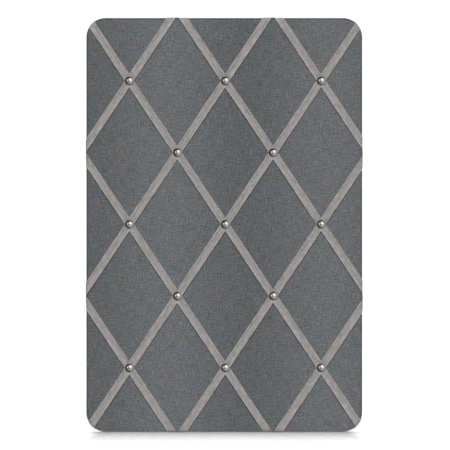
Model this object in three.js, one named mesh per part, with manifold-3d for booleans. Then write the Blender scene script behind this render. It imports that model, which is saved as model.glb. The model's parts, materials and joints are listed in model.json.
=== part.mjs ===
// A padded ribbon memo board. A stiff core lies under foam and a linen-look cover, ten crossed ribbons run
// over its front and round its edges, thirteen domed nails hold the crossings down, and two D-ring hangers
// and four bumpers sit on its back.
// Millimetres. Seen from the front, +X is right and +Z is up, and the front faces -Y.
// The origin is on the wall, behind the middle of the board.
import * as THREE from 'three';
import { mergeVertices } from 'three/addons/utils/BufferGeometryUtils.js';
import Module from 'manifold-3d';

const wasm = await Module();
wasm.setup();

// Board
const BOARD_WIDTH = 400;
const BOARD_HEIGHT = 600;
const CORNER_RADIUS = 28;
const EDGE_ROLL_RADIUS = 4;
const CORE_THICKNESS = 9;
const PADDING_THICKNESS = 4;
const COVER_THICKNESS = 0.8;
const BACK_PANEL_THICKNESS = 1.5;
const BACK_PANEL_INSET = 18;
// How far the cover's hem and the ribbons' tails reach under the back panel
const HEM_UNDER_PANEL = 12;
const TAIL_UNDER_PANEL = 8;

// Ribbon lattice: nails two half diamonds out from the middle, and a last crossing on the edge
const NAIL_REACH = 2;
const EDGE_REACH = NAIL_REACH + 1;
// The outermost crossings land on the edges, this far past the front's outline.
const CROSSING_OVERHANG_X = 8.5;
const CROSSING_OVERHANG_Z = 12;
// The lattice is laid by hand, a little right of the board's middle and above it.
const LATTICE_SHIFT_X = 1.3;
const LATTICE_SHIFT_Z = 0.9;
const RIBBON_WIDTH = 11;
const RIBBON_THICKNESS = 0.5;

// Domed nails, and the shallow tuft that each one draws into the padding
const NAIL_HEAD_DIAMETER = 12;
const NAIL_HEAD_HEIGHT = 3.5;
const NAIL_HEAD_GAUGE = 0.7;
const NAIL_SHANK_DIAMETER = 2;
const NAIL_POINT_LENGTH = 4;
const NAIL_POINT_COVER = 2;
const TUFT_DEPTH = 1;
const TUFT_SLOPE_LENGTH = 10;

// D-ring hangers, set in from the back panel's side and top edges
const HANGER_SIDE_MARGIN = 62;
const HANGER_TOP_MARGIN = 28;
const HANGER_WALL_GAP = 0.45;
const RING_WIRE_DIAMETER = 2.2;
const RING_INNER_HEIGHT = 13;
const RING_CORNER_RADIUS = 3;
const STRAP_WIDTH = 11;
const STRAP_GAUGE = 0.8;
const STRAP_END_MARGIN = 5.5;
const STRAP_FOLD_SLOPE = Math.PI / 4;
const SCREW_HEAD_RIM = 1.7;
const SCREW_HEAD_HEIGHT = 1.8;
const SCREW_HEAD_FLAT_SHARE = 0.45;
const SCREW_SHANK_DIAMETER = 3;
const SCREW_POINT_LENGTH = 3;
const SCREW_POINT_COVER = 2;
const SCREW_RECESS_LENGTH = 3.6;
const SCREW_RECESS_WIDTH = 0.9;
const SCREW_RECESS_DEPTH = 1;

// Bumpers, set in from the back panel's edges
const BUMPER_DIAMETER = 12;
const BUMPER_ROUND = 1;
const BUMPER_MARGIN = 22;

// Clearances
const LAYER_GAP = 0.15;
const HOLE_CLEARANCE = 0.3;
const RING_CLEARANCE = 0.3;
const RING_SIDE_PLAY = 0.1;
const RIBBON_EASE = 0.6;
const MERGE_DISTANCE = 1e-4;
const LEAST_RADIUS = 1;

// Facets
const CORNER_STEPS = 5;
const ROLL_STEPS = 4;
const BACK_EDGE_STEPS = 2;
const TUFT_STEPS = 10;
const RIBBON_EDGE_STEP = 3;
const CORNER_RIBBON_COLUMNS = 4;
const NAIL_STEPS = 12;
const DOME_STEPS = 4;
const BUMPER_STEPS = 16;
const BUMPER_ROUND_STEPS = 2;
const WIRE_STEPS = 8;
const BOW_STEPS = 16;
const RING_CORNER_STEPS = 4;
const TRACE_STEPS = 60;
const SLIDE_STEPS = 8;

// The hangers' depth off the back panel. The bumpers are thick enough to keep them clear of the wall.
const loopBore = RING_WIRE_DIAMETER / 2 + RING_CLEARANCE;
const loopRadius = loopBore + STRAP_GAUGE;
const leavesThickness = 2 * STRAP_GAUGE;
const hangerDepth = Math.max(2 * loopRadius, leavesThickness + LAYER_GAP + SCREW_HEAD_HEIGHT);
const bumperThickness = LAYER_GAP + hangerDepth + HANGER_WALL_GAP;

// Layers, from the wall forward
const panelBackY = -(bumperThickness + LAYER_GAP);
const panelFrontY = panelBackY - BACK_PANEL_THICKNESS;
const ribbonLayer = RIBBON_THICKNESS + LAYER_GAP;
const crossingStack = 2 * ribbonLayer + LAYER_GAP;
const backY = panelFrontY - crossingStack;
const coverLay = COVER_THICKNESS + LAYER_GAP;
const coreBackY = backY - coverLay;
const coreFrontY = coreBackY - CORE_THICKNESS;
const paddingBackY = coreFrontY - LAYER_GAP;
const paddingFrontY = paddingBackY - PADDING_THICKNESS;
const frontY = paddingFrontY - coverLay;

// The cover rolls over the padding's front edge and turns sharply round the core's back edge.
const edgeRoll = Math.min(EDGE_ROLL_RADIUS, PADDING_THICKNESS + coverLay);
const backRoll = coverLay;
const rollLength = edgeRoll * Math.PI / 2;
const sideLength = backY - backRoll - frontY - edgeRoll;
const backRollLength = backRoll * Math.PI / 2;
const edgeLength = rollLength + sideLength + backRollLength;
const hemWidth = BACK_PANEL_INSET + HEM_UNDER_PANEL;
const tailLength = BACK_PANEL_INSET + TAIL_UNDER_PANEL;

// Lattice
const halfDiamondX = (BOARD_WIDTH / 2 + CROSSING_OVERHANG_X) / EDGE_REACH;
const halfDiamondZ = (BOARD_HEIGHT / 2 + CROSSING_OVERHANG_Z) / EDGE_REACH;
const crossingPitch = Math.hypot(halfDiamondX, halfDiamondZ);
const crossingAngle = 2 * Math.atan2(halfDiamondX, halfDiamondZ);
// Half the stretch of a ribbon that lies on the other one where they cross
const crossingHalf = RIBBON_WIDTH / 2 * (1 / Math.sin(crossingAngle) + 1 / Math.tan(crossingAngle));
const crossingFlat = crossingHalf + RIBBON_EASE;
const tuftFloorRadius = Math.hypot(crossingFlat, RIBBON_WIDTH / 2);
const tuftRadius = tuftFloorRadius + TUFT_SLOPE_LENGTH;
const crossingEnd = Math.sqrt(tuftRadius ** 2 - (RIBBON_WIDTH / 2) ** 2);

const nailHoleRadius = NAIL_SHANK_DIAMETER / 2 + HOLE_CLEARANCE;
const nailRimY = frontY + TUFT_DEPTH - crossingStack;
const nailPointY = coreBackY - NAIL_POINT_COVER;

function latticePoint(column, row) {
  return new THREE.Vector2(
    LATTICE_SHIFT_X + column * halfDiamondX,
    LATTICE_SHIFT_Z + row * halfDiamondZ,
  );
}

function nailPlaces() {
  const places = [];
  for (let row = NAIL_REACH; row >= -NAIL_REACH; row -= 1) {
    for (let column = -NAIL_REACH; column <= NAIL_REACH; column += 1) {
      if ((row + column) % 2 === 0) places.push(latticePoint(column, row));
    }
  }
  return places;
}

const nails = nailPlaces();

// Solids from skins of triangles, and cuts between solids

class Skin {
  constructor() {
    this.corners = [];
  }

  triangle(a, b, c) {
    this.corners.push(a, b, c);
  }

  quad(a, b, c, d) {
    this.triangle(a, b, c);
    this.triangle(a, c, d);
  }

  // Joins two closed rings of as many points, seen from outside with the first ring in front.
  strip(first, second) {
    first.forEach((point, i) => {
      const next = (i + 1) % first.length;
      this.quad(point, second[i], second[next], first[next]);
    });
  }

  // Fills a ring that faces the front, or the back when it is turned, around any holes in it.
  cap(ring, holes, turned) {
    const flat = (points) => points.map((point) => new THREE.Vector2(point.x, point.z));
    const points = [ring, ...holes].flat();
    const faces = THREE.ShapeUtils.triangulateShape(flat(ring), holes.map(flat));
    for (const [a, b, c] of faces) {
      const normal = new THREE.Triangle(points[a], points[b], points[c]).getNormal(new THREE.Vector3());
      const facesBack = normal.y > 0;
      if (facesBack === turned) this.triangle(points[a], points[b], points[c]);
      else this.triangle(points[a], points[c], points[b]);
    }
  }

  geometry() {
    return mergeVertices(new THREE.BufferGeometry().setFromPoints(this.corners), MERGE_DISTANCE);
  }
}

function toSolid(geometry) {
  const bare = geometry.clone();
  bare.deleteAttribute('normal');
  bare.deleteAttribute('uv');
  const merged = mergeVertices(bare, MERGE_DISTANCE);
  return new wasm.Manifold(new wasm.Mesh({
    numProp: 3,
    vertProperties: new Float32Array(merged.attributes.position.array),
    triVerts: new Uint32Array(merged.index.array),
  }));
}

function toGeometry(solid) {
  const mesh = solid.getMesh();
  const geometry = new THREE.BufferGeometry();
  geometry.setAttribute('position', new THREE.BufferAttribute(mesh.vertProperties, 3));
  geometry.setIndex(new THREE.BufferAttribute(mesh.triVerts, 1));
  return geometry;
}

function cut(geometry, cutters) {
  let solid = toSolid(geometry);
  for (const cutter of cutters) solid = solid.subtract(toSolid(cutter));
  return toGeometry(solid);
}

// A drill along Y, from one depth to another
function drill(place, radius, fromY, toY) {
  const geometry = new THREE.CylinderGeometry(radius, radius, toY - fromY, NAIL_STEPS);
  return geometry.translate(place.x, (fromY + toY) / 2, place.y);
}

// The board's outline, drawn in by an inset, as a ring at one depth
function outline(inset, y) {
  const radius = Math.max(CORNER_RADIUS - inset, LEAST_RADIUS);
  const reachX = BOARD_WIDTH / 2 - inset - radius;
  const reachZ = BOARD_HEIGHT / 2 - inset - radius;
  const ring = [];
  for (let quarter = 0; quarter < 4; quarter += 1) {
    const centreX = quarter === 0 || quarter === 3 ? reachX : -reachX;
    const centreZ = quarter < 2 ? reachZ : -reachZ;
    for (let step = 0; step <= CORNER_STEPS; step += 1) {
      const angle = (quarter + step / CORNER_STEPS) * Math.PI / 2;
      ring.push(new THREE.Vector3(
        centreX + radius * Math.cos(angle),
        y,
        centreZ + radius * Math.sin(angle),
      ));
    }
  }
  return ring;
}

function circle(centre, radius, y) {
  const ring = [];
  for (let step = 0; step < TUFT_STEPS; step += 1) {
    const angle = step / TUFT_STEPS * Math.PI * 2;
    ring.push(new THREE.Vector3(
      centre.x + radius * Math.cos(angle),
      y,
      centre.y + radius * Math.sin(angle),
    ));
  }
  return ring;
}

// The rolled front edge, some way under the cover's outer face, as rings from the front to the side
function frontRollRings(under) {
  const radius = edgeRoll - under;
  const rings = [];
  for (let step = 0; step <= ROLL_STEPS; step += 1) {
    const angle = step / ROLL_STEPS * Math.PI / 2;
    rings.push(outline(edgeRoll - radius * Math.sin(angle), frontY + edgeRoll - radius * Math.cos(angle)));
  }
  return rings;
}

function backRollRings(under) {
  const radius = backRoll - under;
  const rings = [];
  for (let step = 0; step <= BACK_EDGE_STEPS; step += 1) {
    const angle = step / BACK_EDGE_STEPS * Math.PI / 2;
    rings.push(outline(backRoll - radius * Math.cos(angle), backY - backRoll + radius * Math.sin(angle)));
  }
  return rings;
}

// The rings of one nail's tuft on a padded face: its rim, its floor, and the nail's hole in the floor
function tuftRings(nail, faceY) {
  return {
    rim: circle(nail, tuftRadius, faceY),
    floor: circle(nail, tuftFloorRadius, faceY + TUFT_DEPTH),
    hole: circle(nail, nailHoleRadius, faceY + TUFT_DEPTH),
  };
}

// The front of a padded layer, with a tuft at each nail
function addTuftedFront(skin, ring, tufts) {
  skin.cap(ring, tufts.map((tuft) => tuft.rim), false);
  for (const tuft of tufts) {
    skin.strip(tuft.hole, tuft.floor);
    skin.strip(tuft.floor, tuft.rim);
  }
}

// Linen-look cover: one cloth over the front, the rolled edges and the sides, hemmed on the back

function coverGeometry() {
  const skin = new Skin();
  const outerRings = [...frontRollRings(0), ...backRollRings(0), outline(hemWidth, backY)];
  const innerRings = [
    ...frontRollRings(COVER_THICKNESS),
    ...backRollRings(COVER_THICKNESS),
    outline(hemWidth, backY - COVER_THICKNESS),
  ];
  const rings = [...outerRings, ...innerRings.reverse()];
  for (let i = 1; i < rings.length; i += 1) skin.strip(rings[i - 1], rings[i]);

  const outerTufts = nails.map((nail) => tuftRings(nail, frontY));
  const innerTufts = nails.map((nail) => tuftRings(nail, frontY + COVER_THICKNESS));
  addTuftedFront(skin, rings[0], outerTufts);
  skin.cap(rings.at(-1), innerTufts.map((tuft) => tuft.rim), true);
  innerTufts.forEach((tuft, i) => {
    skin.strip(tuft.rim, tuft.floor);
    skin.strip(tuft.floor, tuft.hole);
    skin.strip(tuft.hole, outerTufts[i].hole);
  });
  return skin.geometry();
}

// Foam padding with a rolled front edge

function paddingGeometry() {
  const skin = new Skin();
  const rings = [...frontRollRings(coverLay), outline(coverLay, paddingBackY)];
  for (let i = 1; i < rings.length; i += 1) skin.strip(rings[i - 1], rings[i]);
  const tufts = nails.map((nail) => tuftRings(nail, paddingFrontY));
  const backHoles = nails.map((nail) => circle(nail, nailHoleRadius, paddingBackY));
  addTuftedFront(skin, rings[0], tufts);
  skin.cap(rings.at(-1), backHoles, true);
  tufts.forEach((tuft, i) => skin.strip(backHoles[i], tuft.hole));
  return skin.geometry();
}

// A plate of the board's outline, drawn in by an inset
function plateGeometry(inset, plateFrontY, plateBackY) {
  const skin = new Skin();
  const front = outline(inset, plateFrontY);
  const back = outline(inset, plateBackY);
  skin.cap(front, [], false);
  skin.strip(front, back);
  skin.cap(back, [], true);
  return skin.geometry();
}

// Ribbons

// Distance of a point of the front from the line where the edge roll starts, and the way out there
function edgeDistance(point) {
  const overX = Math.abs(point.x) - (BOARD_WIDTH / 2 - CORNER_RADIUS);
  const overZ = Math.abs(point.y) - (BOARD_HEIGHT / 2 - CORNER_RADIUS);
  const past = Math.hypot(Math.max(overX, 0), Math.max(overZ, 0));
  const within = Math.min(Math.max(overX, overZ), 0);
  return past + within - (CORNER_RADIUS - edgeRoll);
}

function edgeNormal(point) {
  const overX = Math.abs(point.x) - (BOARD_WIDTH / 2 - CORNER_RADIUS);
  const overZ = Math.abs(point.y) - (BOARD_HEIGHT / 2 - CORNER_RADIUS);
  const normal = new THREE.Vector2(Math.max(overX, 0), Math.max(overZ, 0));
  if (normal.length() === 0) normal.set(overX >= overZ ? 1 : 0, overX >= overZ ? 0 : 1);
  normal.x *= Math.sign(point.x) || 1;
  normal.y *= Math.sign(point.y) || 1;
  return normal.normalize();
}

// Walks from a point inside the board along a direction, to the line where the edge roll starts.
function walkToEdge(start, direction) {
  const point = start.clone();
  for (let step = 0; step < TRACE_STEPS; step += 1) {
    point.addScaledVector(direction, -edgeDistance(point));
  }
  return point;
}

// Turns a direction of the front plane a quarter to its left.
function quarterTurn(direction) {
  return new THREE.Vector2(-direction.y, direction.x);
}

// Slides a point of that line along it.
function slideAlongEdge(start, distance) {
  const point = start.clone();
  for (let step = 0; step < SLIDE_STEPS; step += 1) {
    point.addScaledVector(quarterTurn(edgeNormal(point)), distance / SLIDE_STEPS);
    point.addScaledVector(edgeNormal(point), -edgeDistance(point));
  }
  return point;
}

// Where a ribbon runs over the edge: its middle line's crossing, its slant there and its way on the back
function foldAt(anchor, direction) {
  const crossing = walkToEdge(anchor, direction);
  const outward = edgeNormal(crossing);
  const climb = direction.dot(outward);
  const slant = direction.dot(quarterTurn(outward)) / climb;
  const backOutward = edgeNormal(slideAlongEdge(crossing, slant * edgeLength));
  const tailWay = quarterTurn(backOutward).multiplyScalar(slant).sub(backOutward);
  return { direction, climb, slant, tailWay };
}

// Lays a thread of a ribbon on the edge: round the roll, down the side, round the back edge, on the back.
// The thread crosses the start of the roll at a known point, and lies lifted off the cover.
function layOverEdge(fold, crossing, past, lift) {
  const foot = slideAlongEdge(crossing, fold.slant * Math.min(past, edgeLength));
  const outward = edgeNormal(foot);
  const place = (reach, y) => new THREE.Vector3(
    foot.x + outward.x * reach,
    y,
    foot.y + outward.y * reach,
  );
  if (past <= rollLength) {
    const angle = past / edgeRoll;
    const radius = edgeRoll + lift;
    return place(radius * Math.sin(angle), frontY + edgeRoll - radius * Math.cos(angle));
  }
  if (past <= rollLength + sideLength) return place(edgeRoll + lift, frontY + edgeRoll + past - rollLength);
  const turn = Math.min((past - rollLength - sideLength) / backRoll, Math.PI / 2);
  const turned = place(
    edgeRoll - backRoll + (backRoll + lift) * Math.cos(turn),
    backY - backRoll + (backRoll + lift) * Math.sin(turn),
  );
  const tail = Math.max(past - edgeLength, 0);
  turned.x += fold.tailWay.x * tail;
  turned.z += fold.tailWay.y * tail;
  return turned;
}

// Distances past the start of the edge roll at which a ribbon has a row of points
function foldRows() {
  const rows = [];
  for (let step = 0; step <= ROLL_STEPS; step += 1) rows.push(step / ROLL_STEPS * rollLength);
  const sideSteps = Math.ceil(sideLength / RIBBON_EDGE_STEP);
  for (let step = 1; step <= sideSteps; step += 1) rows.push(rollLength + step / sideSteps * sideLength);
  for (let step = 1; step <= BACK_EDGE_STEPS; step += 1) {
    rows.push(rollLength + sideLength + step / BACK_EDGE_STEPS * backRollLength);
  }
  rows.push(edgeLength + tailLength);
  return rows;
}

// 1 on the flat of a crossing, falling to 0 at the end of its slope
function crossingShare(distance) {
  return THREE.MathUtils.clamp((crossingEnd - distance) / (crossingEnd - crossingFlat), 0, 1);
}

// Closes a ribbon's two faces, each as rows of points from one end to the other, with sides and ends.
function bandGeometry(low, top) {
  const skin = new Skin();
  const lastRow = top.length - 1;
  const lastColumn = top[0].length - 1;
  for (let row = 0; row < lastRow; row += 1) {
    const next = row + 1;
    for (let column = 0; column < lastColumn; column += 1) {
      skin.quad(top[row][column], top[next][column], top[next][column + 1], top[row][column + 1]);
      skin.quad(low[row][column], low[row][column + 1], low[next][column + 1], low[next][column]);
    }
    skin.quad(low[row][0], low[next][0], top[next][0], top[row][0]);
    skin.quad(low[row][lastColumn], top[row][lastColumn], top[next][lastColumn], low[next][lastColumn]);
  }
  for (let column = 0; column < lastColumn; column += 1) {
    const beside = column + 1;
    skin.quad(low[0][column], top[0][column], top[0][beside], low[0][beside]);
    skin.quad(low[lastRow][column], low[lastRow][beside], top[lastRow][beside], top[lastRow][column]);
  }
  return skin.geometry();
}

// One ribbon. Its offset counts the half diamonds from the main diagonal.
// A rising ribbon goes over the falling ones.
function ribbonGeometry(offset, rises) {
  const anchor = latticePoint(rises ? -offset : offset, offset);
  const direction = new THREE.Vector2(halfDiamondX, rises ? halfDiamondZ : -halfDiamondZ).normalize();
  const across = quarterTurn(direction);
  const pointAt = (station, side) => anchor.clone()
    .addScaledVector(direction, station)
    .addScaledVector(across, side);

  // A main diagonal runs over two round corners, so it bends across its width.
  const columns = offset === 0 ? CORNER_RIBBON_COLUMNS : 1;
  const sides = [];
  for (let column = 0; column <= columns; column += 1) {
    sides.push((column / columns - 0.5) * RIBBON_WIDTH);
  }

  const nailCount = NAIL_REACH - Math.abs(offset);
  const nailStations = [];
  for (let count = -nailCount; count <= nailCount; count += 1) nailStations.push(count * crossingPitch);
  const edgeCrossing = offset === 0 ? Infinity : (nailCount + 1) * crossingPitch;

  const folds = [direction.clone().negate(), direction].map((way) => foldAt(anchor, way));
  const liftAt = (station) => {
    const nearest = Math.min(...nailStations.map((nail) => Math.abs(station - nail)));
    const tuft = crossingShare(nearest);
    const edgeLead = RIBBON_EDGE_STEP / folds[station < 0 ? 0 : 1].climb;
    const overEdge = crossingShare(Math.max(edgeCrossing - edgeLead - Math.abs(station), 0));
    const over = rises ? Math.max(tuft, overEdge) : 0;
    return LAYER_GAP - TUFT_DEPTH * tuft + ribbonLayer * over;
  };

  const frontRows = nailStations.flatMap((nail) => (
    [-crossingEnd, -crossingFlat, crossingFlat, crossingEnd].map((reach) => (extraLift) => (
      sides.map((side) => {
        const point = pointAt(nail + reach, side);
        return new THREE.Vector3(point.x, frontY - liftAt(nail + reach) - extraLift, point.y);
      })
    ))
  ));
  const edgeRows = (fold) => foldRows().map((past) => (extraLift) => (
    sides.map((side) => {
      const crossing = walkToEdge(pointAt(0, side), fold.direction);
      const run = crossing.clone().addScaledVector(fold.direction, past / fold.climb);
      const station = run.sub(anchor).dot(direction);
      return layOverEdge(fold, crossing, past, liftAt(station) + extraLift);
    })
  ));
  const rows = [...edgeRows(folds[0]).reverse(), ...frontRows, ...edgeRows(folds[1])];
  const band = bandGeometry(
    rows.map((row) => row(0)),
    rows.map((row) => row(RIBBON_THICKNESS)),
  );
  return cut(band, nailStations.map((station) => (
    drill(pointAt(station, 0), nailHoleRadius, nailRimY - LAYER_GAP, frontY + TUFT_DEPTH)
  )));
}

// Domed nail: a hollow pressed head on a pointed shank, set along Y with its rim at y = 0

function nailGeometry() {
  const shankRadius = NAIL_SHANK_DIAMETER / 2;
  const shankEnd = nailPointY - nailRimY;
  const domePoint = (radius, height, angle) => (
    new THREE.Vector2(radius * Math.cos(angle), -height * Math.sin(angle))
  );
  const innerRadius = NAIL_HEAD_DIAMETER / 2 - NAIL_HEAD_GAUGE;
  const innerHeight = NAIL_HEAD_HEIGHT - NAIL_HEAD_GAUGE;
  const rootAngle = Math.acos(shankRadius / innerRadius);
  const profile = [];
  for (let step = 0; step < DOME_STEPS; step += 1) {
    profile.push(domePoint(NAIL_HEAD_DIAMETER / 2, NAIL_HEAD_HEIGHT, (1 - step / DOME_STEPS) * Math.PI / 2));
  }
  profile[0].x = 0;
  profile.push(new THREE.Vector2(NAIL_HEAD_DIAMETER / 2, 0));
  for (let step = 0; step <= DOME_STEPS / 2; step += 1) {
    profile.push(domePoint(innerRadius, innerHeight, step / (DOME_STEPS / 2) * rootAngle));
  }
  profile.push(new THREE.Vector2(shankRadius, shankEnd - NAIL_POINT_LENGTH));
  profile.push(new THREE.Vector2(0, shankEnd));
  return new THREE.LatheGeometry(profile, NAIL_STEPS);
}

// D-ring hanger: a strap folded round the ring's straight side, and a pan-head screw through its two leaves

const strapBackY = panelBackY + LAYER_GAP;
const ringReach = RING_INNER_HEIGHT + RING_WIRE_DIAMETER;
const hingeX = BOARD_WIDTH / 2 - BACK_PANEL_INSET - HANGER_SIDE_MARGIN;
const hingeY = strapBackY + loopRadius;
const ringTopZ = BOARD_HEIGHT / 2 - BACK_PANEL_INSET - HANGER_TOP_MARGIN;
const hingeZ = ringTopZ - ringReach - RING_WIRE_DIAMETER / 2;
// The ring lies back on the panel when the board stands upright.
const ringLean = Math.asin((hingeY - panelBackY - RING_WIRE_DIAMETER / 2 - LAYER_GAP) / ringReach);
// The screw sits just past the ring's bow, so that the ring can fold down over the strap.
const screwHeadRadius = SCREW_SHANK_DIAMETER / 2 + SCREW_HEAD_RIM;
const screwDrop = ringReach + RING_WIRE_DIAMETER / 2 + RING_CLEARANCE + screwHeadRadius;
const strapLength = screwDrop + STRAP_END_MARGIN;
const screwHoleRadius = SCREW_SHANK_DIAMETER / 2 + HOLE_CLEARANCE;
const screwSeatY = strapBackY + leavesThickness + LAYER_GAP;
const screwPointY = coreFrontY + SCREW_POINT_COVER;

// The strap's side profile (depth off the panel, height), extruded across and trimmed to a round end
function strapGeometry() {
  const slopeTop = loopRadius * (1 + Math.cos(STRAP_FOLD_SLOPE));
  const slopeRun = (slopeTop - leavesThickness) / Math.tan(STRAP_FOLD_SLOPE);
  const slopeEnd = -loopRadius * Math.sin(STRAP_FOLD_SLOPE) - slopeRun;
  const profile = new THREE.Shape();
  profile.moveTo(0, -strapLength);
  profile.lineTo(0, 0);
  profile.absarc(loopRadius, 0, loopRadius, Math.PI, -STRAP_FOLD_SLOPE, true);
  profile.lineTo(leavesThickness, slopeEnd);
  profile.lineTo(leavesThickness, -strapLength);
  profile.closePath();
  const bore = new THREE.Path();
  bore.absarc(loopRadius, 0, loopBore, 0, Math.PI * 2);
  profile.holes.push(bore);
  const folded = new THREE.ExtrudeGeometry(profile, {
    depth: STRAP_WIDTH,
    bevelEnabled: false,
    curveSegments: WIRE_STEPS,
  });
  const turn = new THREE.Matrix4().makeBasis(
    new THREE.Vector3(0, 1, 0),
    new THREE.Vector3(0, 0, 1),
    new THREE.Vector3(1, 0, 0),
  );
  folded.applyMatrix4(turn);
  folded.translate(-STRAP_WIDTH / 2, 0, 0);

  const endRadius = STRAP_WIDTH / 2;
  const plan = new THREE.Shape();
  plan.moveTo(endRadius, 2 * loopRadius);
  plan.lineTo(-endRadius, 2 * loopRadius);
  plan.lineTo(-endRadius, endRadius - strapLength);
  plan.absarc(0, endRadius - strapLength, endRadius, Math.PI, Math.PI * 2);
  plan.closePath();
  const planDepth = 4 * loopRadius;
  const trim = new THREE.ExtrudeGeometry(plan, {
    depth: planDepth,
    bevelEnabled: false,
    curveSegments: WIRE_STEPS,
  });
  trim.rotateX(Math.PI / 2);
  trim.translate(0, planDepth / 2 + loopRadius, 0);

  const trimmed = toGeometry(toSolid(folded).intersect(toSolid(trim)));
  const hole = new THREE.Vector2(0, -screwDrop);
  return cut(trimmed, [drill(hole, screwHoleRadius, -STRAP_GAUGE, leavesThickness + STRAP_GAUGE)]);
}

// The ring: a round wire bent to a D, standing on its straight side, which lies along X at the origin
function ringGeometry() {
  const halfWidth = STRAP_WIDTH / 2 + RING_SIDE_PLAY + RING_CORNER_RADIUS;
  const path = [];
  const addArc = (centreX, centreZ, radiusX, radiusZ, from, to, steps) => {
    for (let step = 0; step <= steps; step += 1) {
      const angle = from + step / steps * (to - from);
      path.push(new THREE.Vector2(centreX + radiusX * Math.cos(angle), centreZ + radiusZ * Math.sin(angle)));
    }
  };
  const corner = RING_CORNER_RADIUS;
  const bowRise = ringReach - corner;
  addArc(halfWidth - corner, corner, corner, corner, -Math.PI / 2, 0, RING_CORNER_STEPS);
  addArc(0, corner, halfWidth, bowRise, Math.PI / BOW_STEPS, Math.PI - Math.PI / BOW_STEPS, BOW_STEPS - 2);
  addArc(corner - halfWidth, corner, corner, corner, Math.PI, Math.PI * 3 / 2, RING_CORNER_STEPS);

  const rings = path.map((point, i) => {
    const before = path[(i + path.length - 1) % path.length];
    const after = path[(i + 1) % path.length];
    const arriving = point.clone().sub(before).normalize();
    const leaving = after.clone().sub(point).normalize();
    const heading = arriving.add(leaving).normalize();
    const ring = [];
    for (let step = 0; step < WIRE_STEPS; step += 1) {
      const angle = (step + 0.5) / WIRE_STEPS * Math.PI * 2;
      const out = RING_WIRE_DIAMETER / 2 * Math.cos(angle);
      const depth = RING_WIRE_DIAMETER / 2 * Math.sin(angle);
      ring.push(new THREE.Vector3(point.x + heading.y * out, -depth, point.y - heading.x * out));
    }
    return ring;
  });
  const skin = new Skin();
  rings.forEach((ring, i) => skin.strip(ring, rings[(i + 1) % rings.length]));
  return skin.geometry();
}

// Pan-head screw along Y, with its seat at y = 0 and a cross recess in its head
function screwGeometry() {
  const shankRadius = SCREW_SHANK_DIAMETER / 2;
  const shankLength = screwSeatY - screwPointY;
  const profile = [
    new THREE.Vector2(0, -shankLength),
    new THREE.Vector2(shankRadius, SCREW_POINT_LENGTH - shankLength),
    new THREE.Vector2(shankRadius, 0),
    new THREE.Vector2(screwHeadRadius, 0),
  ];
  const flatRadius = screwHeadRadius * SCREW_HEAD_FLAT_SHARE;
  for (let step = 1; step <= DOME_STEPS; step += 1) {
    const angle = step / DOME_STEPS * Math.PI / 2;
    profile.push(new THREE.Vector2(
      flatRadius + (screwHeadRadius - flatRadius) * Math.cos(angle),
      SCREW_HEAD_HEIGHT * Math.sin(angle),
    ));
  }
  profile.push(new THREE.Vector2(0, SCREW_HEAD_HEIGHT));
  const recessHeight = 2 * SCREW_RECESS_DEPTH;
  const slot = (sizeX, sizeZ) => (
    new THREE.BoxGeometry(sizeX, recessHeight, sizeZ).translate(0, SCREW_HEAD_HEIGHT, 0)
  );
  return cut(new THREE.LatheGeometry(profile, NAIL_STEPS), [
    slot(SCREW_RECESS_LENGTH, SCREW_RECESS_WIDTH),
    slot(SCREW_RECESS_WIDTH, SCREW_RECESS_LENGTH),
  ]);
}

// Rubber bumper with a rounded wall edge, from the back panel to the wall
function bumperGeometry() {
  const radius = BUMPER_DIAMETER / 2;
  const profile = [
    new THREE.Vector2(0, -bumperThickness),
    new THREE.Vector2(radius, -bumperThickness),
  ];
  for (let step = 0; step <= BUMPER_ROUND_STEPS; step += 1) {
    const angle = step / BUMPER_ROUND_STEPS * Math.PI / 2;
    profile.push(new THREE.Vector2(
      radius - BUMPER_ROUND * (1 - Math.cos(angle)),
      -BUMPER_ROUND * (1 - Math.sin(angle)),
    ));
  }
  profile.push(new THREE.Vector2(0, 0));
  return new THREE.LatheGeometry(profile, BUMPER_STEPS);
}

// Assembly

const finishes = {
  cover: { color: 0x64666a, roughness: 0.95, metalness: 0 },
  ribbon: { color: 0x98948f, roughness: 0.8, metalness: 0 },
  nail: { color: 0xb4b2ae, roughness: 0.3, metalness: 1 },
  core: { color: 0x9a7a55, roughness: 0.9, metalness: 0 },
  padding: { color: 0xe8e4d8, roughness: 1, metalness: 0 },
  panel: { color: 0x2b2b2d, roughness: 0.95, metalness: 0 },
  hanger: { color: 0xc0c0be, roughness: 0.35, metalness: 1 },
  rubber: { color: 0x1c1c1c, roughness: 0.8, metalness: 0 },
};

const board = new THREE.Group();

function add(name, geometry, finish, place = new THREE.Vector3()) {
  const material = new THREE.MeshStandardMaterial({ ...finishes[finish], flatShading: true });
  const mesh = new THREE.Mesh(geometry, material);
  mesh.name = name;
  mesh.position.copy(place);
  board.add(mesh);
  return mesh;
}

const hangerPlaces = { left: -hingeX, right: hingeX };
const screwPlaces = Object.values(hangerPlaces).map((x) => new THREE.Vector2(x, hingeZ - screwDrop));

add('core_board', cut(plateGeometry(coverLay, coreFrontY, coreBackY), [
  ...nails.map((nail) => drill(nail, nailHoleRadius, coreFrontY - LAYER_GAP, nailPointY + HOLE_CLEARANCE)),
  ...screwPlaces.map((place) => (
    drill(place, screwHoleRadius, screwPointY - HOLE_CLEARANCE, coreBackY + LAYER_GAP)
  )),
]), 'core');
add('padding', paddingGeometry(), 'padding');
add('fabric_cover', coverGeometry(), 'cover');
add('back_panel', cut(plateGeometry(BACK_PANEL_INSET, panelFrontY, panelBackY), screwPlaces.map((place) => (
  drill(place, screwHoleRadius, panelFrontY - LAYER_GAP, panelBackY + LAYER_GAP)
))), 'panel');

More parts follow.
